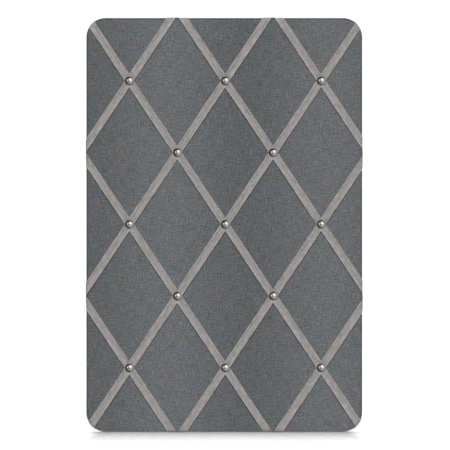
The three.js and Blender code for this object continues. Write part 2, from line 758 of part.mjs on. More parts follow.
for (let offset = -NAIL_REACH; offset <= NAIL_REACH; offset += 1) {
  const number = offset + NAIL_REACH + 1;
  add(`ribbon_falling_${number}`, ribbonGeometry(offset, false), 'ribbon');
  add(`ribbon_rising_${number}`, ribbonGeometry(offset, true), 'ribbon');
}

nails.forEach((nail, i) => {
  add(`domed_nail_${i + 1}`, nailGeometry(), 'nail', new THREE.Vector3(nail.x, nailRimY, nail.y));
});

for (const [side, x] of Object.entries(hangerPlaces)) {
  add(`hanger_strap_${side}`, strapGeometry(), 'hanger', new THREE.Vector3(x, strapBackY, hingeZ));
  const ring = add(`hanger_ring_${side}`, ringGeometry(), 'hanger', new THREE.Vector3(x, hingeY, hingeZ));
  ring.rotation.x = ringLean;
  const screwPlace = new THREE.Vector3(x, screwSeatY, hingeZ - screwDrop);
  add(`hanger_screw_${side}`, screwGeometry(), 'hanger', screwPlace);
}

const bumperX = BOARD_WIDTH / 2 - BACK_PANEL_INSET - BUMPER_MARGIN;
const bumperZ = BOARD_HEIGHT / 2 - BACK_PANEL_INSET - BUMPER_MARGIN;
for (const [level, z] of Object.entries({ top: bumperZ, bottom: -bumperZ })) {
  for (const [side, x] of Object.entries({ left: -bumperX, right: bumperX })) {
    add(`bumper_${level}_${side}`, bumperGeometry(), 'rubber', new THREE.Vector3(x, 0, z));
  }
}

export default board;
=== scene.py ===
"""Dresses a ribbon memo board: linen cover, crossed ribbons, domed nails and the hardware on its back."""

import json
import math
import random

import bmesh
import bpy
from mathutils import Matrix, Vector, kdtree, noise


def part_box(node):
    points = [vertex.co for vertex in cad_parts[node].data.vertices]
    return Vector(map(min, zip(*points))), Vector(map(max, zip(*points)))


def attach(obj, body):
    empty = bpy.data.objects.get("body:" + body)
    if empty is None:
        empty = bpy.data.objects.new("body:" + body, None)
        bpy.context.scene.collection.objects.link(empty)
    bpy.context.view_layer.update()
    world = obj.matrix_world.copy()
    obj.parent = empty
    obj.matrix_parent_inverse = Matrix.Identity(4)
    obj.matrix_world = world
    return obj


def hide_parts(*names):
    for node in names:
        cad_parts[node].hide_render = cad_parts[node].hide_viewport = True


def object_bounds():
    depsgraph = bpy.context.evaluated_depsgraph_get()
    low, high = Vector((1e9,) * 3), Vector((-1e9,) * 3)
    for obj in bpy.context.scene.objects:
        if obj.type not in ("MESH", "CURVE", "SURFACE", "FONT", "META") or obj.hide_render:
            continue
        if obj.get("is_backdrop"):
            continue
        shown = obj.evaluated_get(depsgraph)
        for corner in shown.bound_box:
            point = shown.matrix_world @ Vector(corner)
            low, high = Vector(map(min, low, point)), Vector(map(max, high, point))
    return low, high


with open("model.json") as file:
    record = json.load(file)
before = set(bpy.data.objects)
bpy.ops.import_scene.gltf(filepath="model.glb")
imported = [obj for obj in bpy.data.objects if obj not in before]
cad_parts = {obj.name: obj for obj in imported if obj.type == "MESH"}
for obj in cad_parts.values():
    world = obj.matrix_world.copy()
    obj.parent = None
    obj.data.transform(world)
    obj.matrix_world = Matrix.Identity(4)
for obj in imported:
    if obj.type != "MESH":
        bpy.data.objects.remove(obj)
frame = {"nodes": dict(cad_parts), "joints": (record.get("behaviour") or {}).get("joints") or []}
cad_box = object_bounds()

MM = 0.001
QUARTER = math.pi / 2
SQUARE = ((-1, -1), (1, -1), (1, 1), (-1, 1))

# The cover and the padded board under it
CORNER_RADIUS = 28 * MM
EDGE_ROLL = 4 * MM
BACK_ROLL = 0.95 * MM
HEM_WIDTH = 30 * MM
LEAST_CORNER = 1 * MM
COVER_THICKNESS = 0.8 * MM
PILLOW_RISE = 0.6 * MM
PILLOW_REACH = 32 * MM
TUFT_DEPTH = 1 * MM
TUFT_FLOOR = 5.2 * MM
TUFT_REACH = 12 * MM
PLEAT_RISE = 0.8 * MM
PLEAT_INSET = 12 * MM
PLEAT_CLEAR = 6 * MM
PLEAT_FADE = 4 * MM
PLEATS_PER_CORNER = 5
FOAM_ROLL = 1.5 * MM
PLATE_EDGE_STEPS = 4
# Size of the cells of each grid, and how many of them lie over a corner
COVER_CELLS = (3.5 * MM, 14)
FOAM_CELLS = (6 * MM, 8)
PANEL_CELLS = (5 * MM, 5)
# Rows of the cover round the front roll, down the side, round the back edge and along the hem
COVER_STEPS = (8, 5, 4, 9)

# Tones of the cover, with painted shade round its edge and painted shadows beside the ribbons
SHADE_BAND = 232 * MM
SHADE_MIDDLE = 32 * MM
SHADE_DEPTH = 0.11
# Painted shade round the rolled edge, as factors on the cloth's tone: on top and on the sides; along the
# bottom the factor is painted light
TOP_EDGE_SHADE = 0.55
SIDE_EDGE_SHADE = 0.8
BOTTOM_EDGE_LIGHT = 1.6
# Painted shadow in the cloth below each ribbon's lower edge: its width and its tone
RIBBON_SHADOW_WIDTH = 1.0 * MM
RIBBON_SHADOW_TONE = 0.77
# Where the painted edge shade sets in and where it has ended, past where the edge starts to roll
EDGE_SHADE_START = (0.1 * EDGE_ROLL, 0.75 * EDGE_ROLL)
EDGE_SHADE_END = (1.6 * EDGE_ROLL, 3.0 * EDGE_ROLL)

# The yarn: how fast its threads drift, per metre, and how far apart its patterns of slubs and of dye lie
DRIFT_RATE = 140.0
SLUB_APART = 9.0
DYE_APART = (0.7, 0.3, 0.0)
DYE_CONTRAST = 3.0
DYE_DETAIL = 0.5

# The fibres of the lining and the cells of the foam: how fast they change, per metre, sideways and up
UPRIGHT_FIBRES = (1500.0, 400.0)
LEVEL_FIBRES = (420.0, 1600.0)
FIBRES_APART = 4.0
FIBRE_DETAIL = 4.0
FOAM_CELL_RATE = 900.0

# The ribbons
RIBBON_LINES = 2
RIBBON_WIDTH = 11 * MM
RIBBON_GAP = 0.1 * MM
RIBBON_TAIL = 26 * MM
RIBBON_ROW = 3.2 * MM
RIBBON_RIBS = 5
RIBBON_WANDER = 0.25 * MM
WANDER_RATE = 14
WANDER_APART = 3.7
OVER_LIFT = 0.65 * MM
OVER_FLAT = 8.8 * MM
OVER_REACH = 19.6 * MM
EDGE_LEAD = 3 * MM
EDGE_THINNING = 0.4
LOOSE_LIFT = 0.95 * MM
LOOSE_REACH = 30 * MM
ROLL_STEP = 130 * MM
WALK_STEPS = 60
SLIDE_STEPS = 8
# Rows of a ribbon round the front roll, down the side, round the back edge and along the tail
RIBBON_STEPS = (7, 8, 5, 8)
# From a selvage to near the middle: place as a share of half the width, and thickness
RIBBON_HALF = [(1.0, 0.4 * MM), (0.96, 0.58 * MM), (0.88, 0.64 * MM), (0.74, 0.55 * MM), (0.3, 0.55 * MM)]
RIBBON_SECTION = [(-share, thickness) for share, thickness in RIBBON_HALF] + RIBBON_HALF[::-1]

# The nails and the hardware on the back
NAIL_HEIGHT = 3.5 * MM
NAIL_RIM = 1 * MM
NAIL_TURN = 2.4
NAIL_LEAN = math.radians(1.5)
NAIL_SEED = 4
STAPLE_WIDTH = 10 * MM
STAPLE_WIRE = 0.8 * MM
STAPLE_LEG = 1.3 * MM
STAPLE_STAND = 0.05 * MM
STAPLE_LEAN = math.radians(1.0)
STAPLE_INSET = 8 * MM
STAPLE_SPACING = 47 * MM
STAPLE_STRAY = 3 * MM
STAPLE_TURN = 0.12
STAPLE_PLACE_SEED = 7
STAPLE_LEAN_SEED = 9
DENT_DEPTH = 0.3 * MM
DENT_REACH = 9 * MM
PANEL_EDGE = 0.4 * MM
PANEL_CORNER = 10 * MM
RING_WIRE = 2.2 * MM
RING_CORNER = 3 * MM
RING_HALF_WIDTH = 8.6 * MM
RING_REACH = 15.2 * MM
LAYER_GAP = 0.15 * MM
STRAP_GAUGE = 0.8 * MM
STRAP_FILL = 0.97
STRAP_CHAMFER = 0.14 * MM
STRAP_LOOP = 1.8 * MM
STRAP_WRAP = math.radians(225)
STRAP_KNEE_SHARE = 0.8
SCREW_RIM = 3.2 * MM
SCREW_EDGE = 0.4 * MM
SCREW_RISE = 1.8 * MM
SCREW_SHANK = 1.5 * MM
RECESS_TURN = math.radians(35)
RECESS_WIDTH = 0.75 * MM
RECESS_FOOT = 0.95 * MM
RECESS_TOP = 2.28 * MM
RECESS_DEPTH = 1.1 * MM
RECESS_ABOVE = 0.2 * MM
BUMPER_FOOT = 0.3 * MM
BUMPER_ROUND = 1 * MM
# Edges of the straps and screws that are sharper than this, in degrees, stay sharp
METAL_SHARP = 40
# How many flats make a round shape, and how many steps make a bend
NAIL_SIDES = 40
NAIL_RINGS = 28
STAPLE_SIDES = 8
STAPLE_BEND_STEPS = 4
BUMPER_SIDES = 48
BUMPER_ROUND_STEPS = 6
SCREW_SIDES = 40
SCREW_DOME_STEPS = 8
STRAP_END_STEPS = 8
STRAP_WRAP_STEPS = 18
RING_SIDES = 16
RING_STRAIGHT_STEPS = 8
RING_CORNER_STEPS = 8
RING_BOW_STEPS = 32

# The floor, the lights and the camera
PHOTO_SPAN = 0.6529
CAMERA_DISTANCE = 4.0
CAMERA_FAR = 50
PHOTO_OFFSET = Vector((1.05 * MM, -0.2 * MM))
FLOOR_HALF = 6.0
FLOOR_GLOW = 0.47
FLOOR_PAPER = 0.28
FLOOR_LEAST = 0.2
FLOOR_SUNS = 8
FLOOR_SUN_TILT = -0.012
FLOOR_SUN_LEAN = 0.34
FLOOR_SUN_STRENGTH = 1.42
FLOOR_SUN_FALL = 0.7
FLOOR_SUN_SPREAD = 5
CORNER_FILL_POWER = 265.0
CORNER_FILL_REACH = 41 * MM
CORNER_FILL_STEP = Vector((18 * MM, -30 * MM))
CORNER_FILL_WAY = Vector((0, -0.95, 0.3))
BACKDROP = 1.05
SKY_WAY = (0.1, -0.8, 0.6)
SKY_COSINES = (-0.4, 0.9)
SKY_LEAST = 0.02
SKY_MOST = 0.6
MIRROR_LEAST = 0.005
# Name, way to it, strength, and width in degrees
SUNS = [("key", (0.06, -0.81, 0.58), 2.18, 13), ("back_fill", (0.25, 0.95, 0.15), 1.6, 20)]
# What the nails mirror: way to each lit panel, cosines where it starts and is full, and brightness
SOFTBOXES = [
    ((0.40, -0.83, 0.39), 0.80, 0.95, 1.05),
    ((-0.57, -0.80, 0.18), 0.93, 0.985, 0.55),
    ((0.16, -1.00, -0.08), 0.38, 0.52, 0.31),
    ((0.85, -0.35, -0.30), 0.30, 0.90, 0.28),
    ((0.20, 0.90, 0.50), 0.30, 0.90, 0.9),
]

# Places that the frame gives
cover_low, cover_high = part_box("fabric_cover")
half_width = cover_high.x
half_height = cover_high.z
front_y = cover_low.y
back_y = cover_high.y
panel_low, panel_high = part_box("back_panel")
nail_names = [name for name in frame["nodes"] if name.startswith("domed_nail_")]
bumper_names = [name for name in frame["nodes"] if name.startswith("bumper_")]


def middle_of(node):
    """The middle of a CAD node's box."""
    low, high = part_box(node)
    return (Vector(low) + Vector(high)) / 2


nails = [middle_of(name).xz for name in nail_names]
centre_nail = min(nails, key=lambda place: place.length)
lattice = Vector((
    (max(nail.x for nail in nails) - centre_nail.x) / RIBBON_LINES,
    (max(nail.y for nail in nails) - centre_nail.y) / RIBBON_LINES,
))
ribbon_spacing = 2 * lattice.x * lattice.y / lattice.length
roll_length = EDGE_ROLL * QUARTER
side_length = back_y - front_y - EDGE_ROLL - BACK_ROLL
back_roll_length = BACK_ROLL * QUARTER
edge_length = roll_length + side_length + back_roll_length


def clamp(value, low, high):
    return min(max(value, low), high)


def ease(value):
    """0 below 0, 1 above 1, and a soft S between them."""
    share = clamp(value, 0, 1)
    return share * share * (3 - 2 * share)


def shares(count):
    """Even steps from 0 to 1, without the 0."""
    return [(i + 1) / count for i in range(count)]


def quarter_arc(count):
    """Angles of even steps through a quarter turn, without the 0."""
    return [QUARTER * share for share in shares(count)]


def circle(count):
    """Angles of even steps round a circle."""
    return [math.tau * i / count for i in range(count)]


def at_depth(place, depth):
    """The point at a depth behind a place of the front."""
    return Vector((place.x, depth, place.y))


# Wiring of node trees
def label_of(name):
    """The label of a socket, from a plain name."""
    return name.replace("_", " ").title().replace("Ior", "IOR")


class Field:
    """A node's output that plain arithmetic can go on with."""

    def __init__(self, wires, socket):
        self.wires = wires
        self.socket = socket

    def __add__(self, other):
        return self.wires.math("ADD", self, other)

    def __sub__(self, other):
        return self.wires.math("SUBTRACT", self, other)

    def __mul__(self, other):
        return self.wires.math("MULTIPLY", self, other)

    def __truediv__(self, other):
        return self.wires.math("DIVIDE", self, other)


class Wiring:
    """Adds nodes to one tree. An input is a plain value or a field."""

    def __init__(self, tree):
        self.tree = tree

    def feed(self, socket, value):
        if isinstance(value, Field):
            self.tree.links.new(value.socket, socket)
        else:
            socket.default_value = value

    def add(self, kind, inputs=None, **settings):
        node = self.tree.nodes.new(kind)
        for name, value in settings.items():
            setattr(node, name, value)
        for name, value in (inputs or {}).items():
            self.feed(node.inputs[name], value)
        return node

    def take(self, kind, inputs=None, output=0, **settings):
        """Adds a node and takes one of its outputs."""
        return Field(self, self.add(kind, inputs, **settings).outputs[output])

    def fields(self, node):
        return {socket.name: Field(self, socket) for socket in node.outputs}

    def math(self, operation, *values):
        return self.take("ShaderNodeMath", dict(enumerate(values)), operation=operation)

    def vector(self, x=0.0, y=0.0, z=0.0):
        return self.take("ShaderNodeCombineXYZ", {"X": x, "Y": y, "Z": z})

    def split(self, vector):
        return list(self.fields(self.add("ShaderNodeSeparateXYZ", {0: vector})).values())

    def noise(self, vector, scale=1.0, detail=1.0):
        return self.take("ShaderNodeTexNoise", {"Vector": vector, "Scale": scale, "Detail": detail})

    def remap(self, value, low, high, to_low=0.0, to_high=1.0):
        limits = {0: value, 1: low, 2: high, 3: to_low, 4: to_high}
        return self.take("ShaderNodeMapRange", limits, interpolation_type="SMOOTHSTEP")

    def spread(self, share, low, high):
        """A value from 0 to 1 spread between two limits."""
        return self.remap(share, 0.0, 1.0, low, high)

    def between(self, share, first, second):
        return self.take("ShaderNodeMix", {0: share, 2: first, 3: second}, data_type="FLOAT")

    def colour_between(self, share, first, second):
        return self.take("ShaderNodeMix", {0: share, 6: first, 7: second}, output=2, data_type="RGBA")

    def filtered(self, tint, red, green, blue):
        """A tint with each channel multiplied by its own factor."""
        gain = self.take("ShaderNodeCombineColor", {0: red, 1: green, 2: blue})
        inputs = {0: 1.0, 6: tint, 7: gain}
        return self.take("ShaderNodeMix", inputs, output=2, data_type="RGBA", blend_type="MULTIPLY")

    def shaded(self, tint, *factors):
        """A tint made lighter or darker by factors."""
        for factor in factors:
            tint = self.filtered(tint, factor, factor, factor)
        return tint

    def group(self, tree, **inputs):
        node = self.add("ShaderNodeGroup", node_tree=tree)
        for name, value in inputs.items():
            self.feed(node.inputs[label_of(name)], value)
        return self.fields(node)

    def mottled(self, place, patch_size, contrast, detail=3.0):
        """Soft uneven patches from 0 to 1."""
        sizes = {"patch_size": patch_size, "contrast": contrast, "detail": detail}
        return self.group(mottle, place=place, **sizes)["Value"]


def new_tree(name, kind, inputs, outputs):
    """A node tree with named sockets of given kinds: its wiring, what it is given and what it returns."""
    tree = bpy.data.node_groups.new(name, kind)
    for way, sockets in (("INPUT", inputs), ("OUTPUT", outputs)):
        for label, value_kind in sockets.items():
            tree.interface.new_socket(label, in_out=way, socket_type=f"NodeSocket{value_kind}")
    wires = Wiring(tree)
    source = wires.add("NodeGroupInput")
    result = wires.add("NodeGroupOutput").inputs
    return wires, wires.fields(source), result


def shader_group(name, sizes, outputs):
    """A group that works out values from a place and from named sizes."""
    inputs = {"Place": "Vector", **dict.fromkeys(sizes, "Float")}
    return new_tree(name, "ShaderNodeTree", inputs, dict.fromkeys(outputs, "Float"))


def weave_group():
    """Plain weave: how high each thread stands and how light it is, with slubs along the threads."""
    sizes = ["Warp Pitch", "Weft Pitch", "Slub Length", "Slub Share", "Wander"]
    wires, given, result = shader_group("plain_weave", sizes, ["Height", "Tone"])
    x, y, _ = wires.split(given["Place"])
    drift = (wires.noise(given["Place"], DRIFT_RATE) - 0.5) * given["Wander"]
    warp = x / given["Warp Pitch"] + drift
    weft = y / given["Weft Pitch"] + drift
    warp_wave = wires.math("SINE", warp * math.pi)
    weft_wave = wires.math("SINE", weft * math.pi)
    warp_on_top = wires.remap(warp_wave * weft_wave, -0.2, 0.2)
    warp_round = wires.math("ABSOLUTE", warp_wave)
    weft_round = wires.math("ABSOLUTE", weft_wave)
    warp_height = warp_round * wires.spread(weft_round, 0.6, 1.0)
    weft_height = weft_round * wires.spread(warp_round, 0.6, 1.0)
    warp_slub = wires.noise(wires.vector(warp * given["Slub Share"], y / given["Slub Length"]))
    weft_slub = wires.noise(wires.vector(x / given["Slub Length"], weft * given["Slub Share"], SLUB_APART))
    wires.feed(result["Height"], wires.between(warp_on_top, weft_height, warp_height))
    wires.feed(result["Tone"], wires.between(warp_on_top, weft_slub, warp_slub))
    return wires.tree


def mottle_group():
    """Soft uneven patches of a given size, from 0 to 1 about a half."""
    wires, given, result = shader_group("mottle", ["Patch Size", "Contrast", "Detail"], ["Value"])
    scale = wires.math("DIVIDE", 1.0, given["Patch Size"])
    patches = wires.noise(given["Place"], scale, given["Detail"])
    spread = (patches - 0.5) * given["Contrast"] + 0.5
    wires.feed(result["Value"], wires.take("ShaderNodeClamp", {0: spread}))
    return wires.tree


def scratch_group():
    """Fine rubbed lines that run one way, as on plated metal."""
    wires, given, result = shader_group("rubbed_lines", ["Line Width", "Line Length"], ["Mask"])
    x, y, z = wires.split(given["Place"])
    lines = wires.noise(wires.vector((x + y) / given["Line Width"], z / given["Line Length"]), 1.0, 3.0)
    wires.feed(result["Mask"], wires.remap(lines, 0.52, 0.75))
    return wires.tree


def yarn_group():
    """Dark to light yarn in two tints that change from patch to patch and lean to yellow or to blue."""
    sizes = dict.fromkeys(["Yarn", "Patch Size", "Detail", "Lean"], "Float")
    tints = dict.fromkeys(["First Dark", "First Light", "Second Dark", "Second Light"], "Color")
    inputs = {"Place": "Vector", **sizes, **tints}
    wires, given, result = new_tree("dyed_yarn", "ShaderNodeTree", inputs, {"Tint": "Color"})
    place = given["Place"]
    patch_size = given["Patch Size"]
    first = wires.colour_between(given["Yarn"], given["First Dark"], given["First Light"])
    second = wires.colour_between(given["Yarn"], given["Second Dark"], given["Second Light"])
    patches = wires.mottled(place, patch_size, DYE_CONTRAST, given["Detail"])
    apart = wires.take("ShaderNodeVectorMath", {0: place, 1: DYE_APART}, operation="ADD")
    dye = wires.mottled(apart, patch_size, DYE_CONTRAST, DYE_DETAIL)
    blue = wires.spread(dye, wires.math("SUBTRACT", 1.0, given["Lean"]), given["Lean"] + 1.0)
    tint = wires.filtered(wires.colour_between(patches, first, second), 1.0, 1.0, blue)
    wires.feed(result["Tint"], tint)
    return wires.tree


weave = weave_group()
mottle = mottle_group()
scratches = scratch_group()
dyed_yarn = yarn_group()


# Materials
def colour(red, green, blue):
    return (red, green, blue, 1.0)


def blank_wiring(owner):
    """The wiring of a material or world without any nodes."""
    owner.use_nodes = True
    owner.node_tree.nodes.clear()
    return Wiring(owner.node_tree)


def new_material(name, **constants):
    """A material with one principled shader, whose constants are set on its sockets."""
    material = bpy.data.materials.new(name)
    wires = blank_wiring(material)
    shader = wires.add("ShaderNodeBsdfPrincipled")
    for label, value in constants.items():
        shader.inputs[label_of(label)].default_value = value
    wires.add("ShaderNodeOutputMaterial", {"Surface": Field(wires, shader.outputs[0])})
    return material, wires, shader.inputs


def cloth_place(wires):
    """Where a point lies on the flat cloth, in metres."""
    return wires.take("ShaderNodeUVMap", uv_map="cloth")


def object_place(wires):
    return wires.take("ShaderNodeTexCoord", output="Object")


def raise_surface(wires, surface, height, distance, strength):
    """Bumps a surface by a height from 0 to 1 over a distance in metres."""
    inputs = {"Strength": strength, "Distance": distance, "Height": height}
    wires.feed(surface["Normal"], wires.take("ShaderNodeBump", inputs))


def painted_edge_shade(wires, place):
    """Painted shade round the rolled edge of the board, darkest on top, with painted light along the bottom.
    """
    x, z, _ = wires.split(place)
    over_x = wires.math("MAXIMUM", wires.math("ABSOLUTE", x) - (half_width - CORNER_RADIUS), 0.0)
    over_z = wires.math("MAXIMUM", wires.math("ABSOLUTE", z) - (half_height - CORNER_RADIUS), 0.0)
    past = wires.math("SQRT", over_x * over_x + over_z * over_z) - (CORNER_RADIUS - EDGE_ROLL)
    on_roll = wires.remap(past, *EDGE_SHADE_START)
    on_side = wires.remap(past, *EDGE_SHADE_END)
    # The painted shade is darkest on top and lighter on the sides; along the bottom the roll is painted
    # lighter
    upper_edge_shade = wires.remap(z, half_height - CORNER_RADIUS, half_height, SIDE_EDGE_SHADE, TOP_EDGE_SHADE)
    edge_shade = wires.remap(z, -half_height, CORNER_RADIUS - half_height, BOTTOM_EDGE_LIGHT, upper_edge_shade)
    return wires.between(on_roll - on_side, 1.0, edge_shade)


def painted_ribbon_shadow(wires, place):
    """Painted shadow in the cloth along the lower edge of each ribbon."""
    x, z, _ = wires.split(place)
    steps_x = (x - centre_nail.x) / (2 * lattice.x)
    steps_z = (z - centre_nail.y) / (2 * lattice.y)
    tone = 1.0
    for lines in (steps_x - steps_z, (steps_x + steps_z) * -1.0):
        limits = {"Value": wires.math("ROUND", lines), "Min": -RIBBON_LINES, "Max": RIBBON_LINES}
        nearest = wires.take("ShaderNodeClamp", limits)
        past_edge = (lines - nearest) * ribbon_spacing - RIBBON_WIDTH / 2
        fade = wires.remap(past_edge, RIBBON_SHADOW_WIDTH, 2 * RIBBON_SHADOW_WIDTH, RIBBON_SHADOW_TONE, 1.0)
        tone = wires.remap(past_edge, -RIBBON_SHADOW_WIDTH, 0.0, 1.0, fade) * tone
    return tone


def linen_material():
    material, wires, surface = new_material(
        "grey_linen", roughness=0.95, sheen_weight=0.06, sheen_roughness=0.5, specular_ior_level=0.15
    )
    place = cloth_place(wires)
    threads = wires.group(
        weave, place=place, warp_pitch=0.78 * MM, weft_pitch=0.84 * MM, slub_length=14 * MM, slub_share=0.95,
        wander=0.8,
    )
    # The first tint leans to green and the second to purple
    tint = wires.group(
        dyed_yarn, place=place, yarn=wires.remap(threads["Tone"], 0.16, 0.84), patch_size=18 * MM, detail=0.4,
        lean=0.048, first_dark=colour(0.058, 0.066, 0.068), first_light=colour(0.173, 0.195, 0.200),
        second_dark=colour(0.066, 0.065, 0.070), second_light=colour(0.196, 0.194, 0.208),
    )["Tint"]
    # Painted shade in the furrows between the threads, a little lighter on their crowns
    furrow_shade = wires.remap(threads["Height"], 0.0, 0.6, 0.72, 1.06)
    from_band = wires.split(place)[0] - SHADE_MIDDLE
    band = wires.math("COSINE", from_band * (math.tau / SHADE_BAND)) * -SHADE_DEPTH + 1.0
    patches = wires.spread(wires.mottled(place, 30 * MM, 1.5), 0.985, 1.015)
    speckle = wires.spread(wires.mottled(place, 2.1 * MM, 2.4), 0.73, 1.27)
    # The last two factors are painted shade: round the rolled edge, and shadows below the ribbons' lower
    # edges
    factors = (furrow_shade, band, patches, speckle, painted_edge_shade(wires, place), painted_ribbon_shadow(wires, place))
    wires.feed(surface["Base Color"], wires.shaded(tint, *factors))
    raise_surface(wires, surface, threads["Height"], 0.18 * MM, 0.5)
    return material


def ribbon_material():
    material, wires, surface = new_material(
        "taupe_ribbon", roughness=0.8, sheen_weight=0.08, sheen_roughness=0.4, specular_ior_level=0.25
    )
    place = cloth_place(wires)
    across, along, _ = wires.split(place)
    threads = wires.group(
        weave, place=place, warp_pitch=0.5 * MM, weft_pitch=0.42 * MM, slub_length=12 * MM, slub_share=0.33,
        wander=0.3,
    )
    # The first tint leans to pink and the second to green
    tint = wires.group(
        dyed_yarn, place=place, yarn=wires.remap(threads["Tone"], 0.26, 0.74), patch_size=19 * MM, detail=0.5,
        lean=0.045, first_dark=colour(0.218, 0.192, 0.190), first_light=colour(0.406, 0.358, 0.354),
        second_dark=colour(0.197, 0.195, 0.184), second_light=colour(0.367, 0.364, 0.344),
    )["Tint"]
    # Painted shade in the furrows between the threads, a little lighter on their crowns
    furrow_shade = wires.remap(threads["Height"], 0.0, 0.6, 0.86, 1.03)
    from_middle = wires.math("ABSOLUTE", across)
    selvage = wires.remap(from_middle, 0.36 * RIBBON_WIDTH, 0.42 * RIBBON_WIDTH, 1.0, 1.06)
    # A painted highlight along the lower selvage of the ribbon
    lower_selvage_highlight = wires.remap(across, -0.46 * RIBBON_WIDTH, -0.38 * RIBBON_WIDTH, 1.12, 1.0)
    # Painted shading across the ribbon: its lower half lighter and its upper half darker
    lean = wires.remap(across, -1.2 * MM, 0.6 * MM, 1.035, 0.962)
    rib = wires.math("COSINE", across * (math.tau * RIBBON_RIBS / RIBBON_WIDTH))
    streak = wires.noise(wires.vector(across / (1.5 * MM), along / (50 * MM)))
    streak = wires.remap(streak, 0.25, 0.75, 0.86, 1.14)
    factors = (furrow_shade, selvage, lower_selvage_highlight, lean, rib * 0.065 + 1.0, streak)
    wires.feed(surface["Base Color"], wires.shaded(tint, *factors))
    raise_surface(wires, surface, rib * 0.5 + threads["Height"], 0.12 * MM, 0.5)
    return material


def plated_metal(name, dark, light, patch, line, roughness, rubbed_roughness, rubbed_tone, bump):
    """Plated metal with faint clouds and with fine rubbed lines that are duller than the rest."""
    material, wires, surface = new_material(name, metallic=1.0)
    place = object_place(wires)
    cloud = wires.mottled(place, *patch)
    line_width, line_length = line
    rubbed = wires.group(scratches, place=place, line_width=line_width, line_length=line_length)["Mask"]
    tint = wires.colour_between(cloud, dark, light)
    wires.feed(surface["Base Color"], wires.shaded(tint, wires.spread(rubbed, 1.0, rubbed_tone)))
    wires.feed(surface["Roughness"], wires.spread(cloud, *roughness) + rubbed * rubbed_roughness)
    raise_surface(wires, surface, cloud, 0.05 * MM, bump)
    return material


def rubber_material():
    material, wires, surface = new_material("bumper_rubber", specular_ior_level=0.3)
    place = object_place(wires)
    bloom = wires.mottled(place, 3 * MM, 1.8)
    tint = wires.colour_between(bloom, colour(0.016, 0.016, 0.017), colour(0.034, 0.034, 0.035))
    wires.feed(surface["Base Color"], tint)
    wires.feed(surface["Roughness"], wires.spread(bloom, 0.55, 0.75))
    raise_surface(wires, surface, wires.mottled(place, 0.4 * MM, 1.5), 0.06 * MM, 0.3)
    return material


def grained_material(name, grain, dark, light, patch, patch_tones, bump, **constants):
    """A raw material: two tints mixed by a grain that also raises it, uneven from patch to patch."""
    material, wires, surface = new_material(name, **constants)
    place = object_place(wires)
    height, share = grain(wires, place)
    tint = wires.colour_between(share, dark, light)
    patches = wires.spread(wires.mottled(place, *patch), *patch_tones)
    wires.feed(surface["Base Color"], wires.shaded(tint, patches))
    raise_surface(wires, surface, height, *bump)
    return material


def matted_fibres(wires, place):
    """Fibres of non-woven cloth, matted along and across."""
    x, y, z = wires.split(place)
    upright_x, upright_z = UPRIGHT_FIBRES
    level_x, level_z = LEVEL_FIBRES
    upright = wires.noise(wires.vector(x * upright_x, y, z * upright_z), 1.0, FIBRE_DETAIL)
    level = wires.noise(wires.vector(x * level_x, FIBRES_APART, z * level_z), 1.0, FIBRE_DETAIL)
    fibres = wires.math("MAXIMUM", upright, level)
    return fibres, wires.remap(fibres, 0.4, 0.75)


def pressed_fibres(wires, place):
    fibres = wires.mottled(place, 1.2 * MM, 2.0)
    return fibres, fibres


def foam_cells(wires, place):
    cells = wires.take("ShaderNodeTexVoronoi", {"Vector": place, "Scale": FOAM_CELL_RATE}, output="Distance")
    return cells, wires.remap(cells, 0.1, 0.7)


linen = linen_material()
ribbon_cloth = ribbon_material()
nickel = plated_metal(
    "satin_nickel", colour(0.56, 0.55, 0.53), colour(0.66, 0.65, 0.63), patch=(3 * MM, 1.5),
    line=(0.2 * MM, 3 * MM), roughness=(0.1, 0.16), rubbed_roughness=0.1, rubbed_tone=1.0, bump=0.1,
)
zinc = plated_metal(
    "zinc_plate", colour(0.50, 0.51, 0.53), colour(0.66, 0.66, 0.65), patch=(4 * MM, 2.0),
    line=(0.25 * MM, 5 * MM), roughness=(0.24, 0.38), rubbed_roughness=0.15, rubbed_tone=0.85, bump=0.2,
)
rubber = rubber_material()
lining = grained_material(
    "back_lining", matted_fibres, colour(0.018, 0.018, 0.020), colour(0.060, 0.060, 0.063),
    patch=(18 * MM, 1.4), patch_tones=(0.85, 1.15), bump=(0.12 * MM, 0.5),
    roughness=0.9, specular_ior_level=0.2,
)
fibreboard = grained_material(
    "raw_fibreboard", pressed_fibres, colour(0.34, 0.235, 0.135), colour(0.50, 0.365, 0.225),
    patch=(25 * MM, 1.2), patch_tones=(0.9, 1.08), bump=(0.08 * MM, 0.4),
    roughness=0.85, specular_ior_level=0.2,
)
foam = grained_material(
    "open_cell_foam", foam_cells, colour(0.60, 0.57, 0.48), colour(0.84, 0.82, 0.74),
    patch=(15 * MM, 1.2), patch_tones=(0.94, 1.04), bump=(0.4 * MM, 0.6),
    roughness=0.95, specular_ior_level=0.1,
)


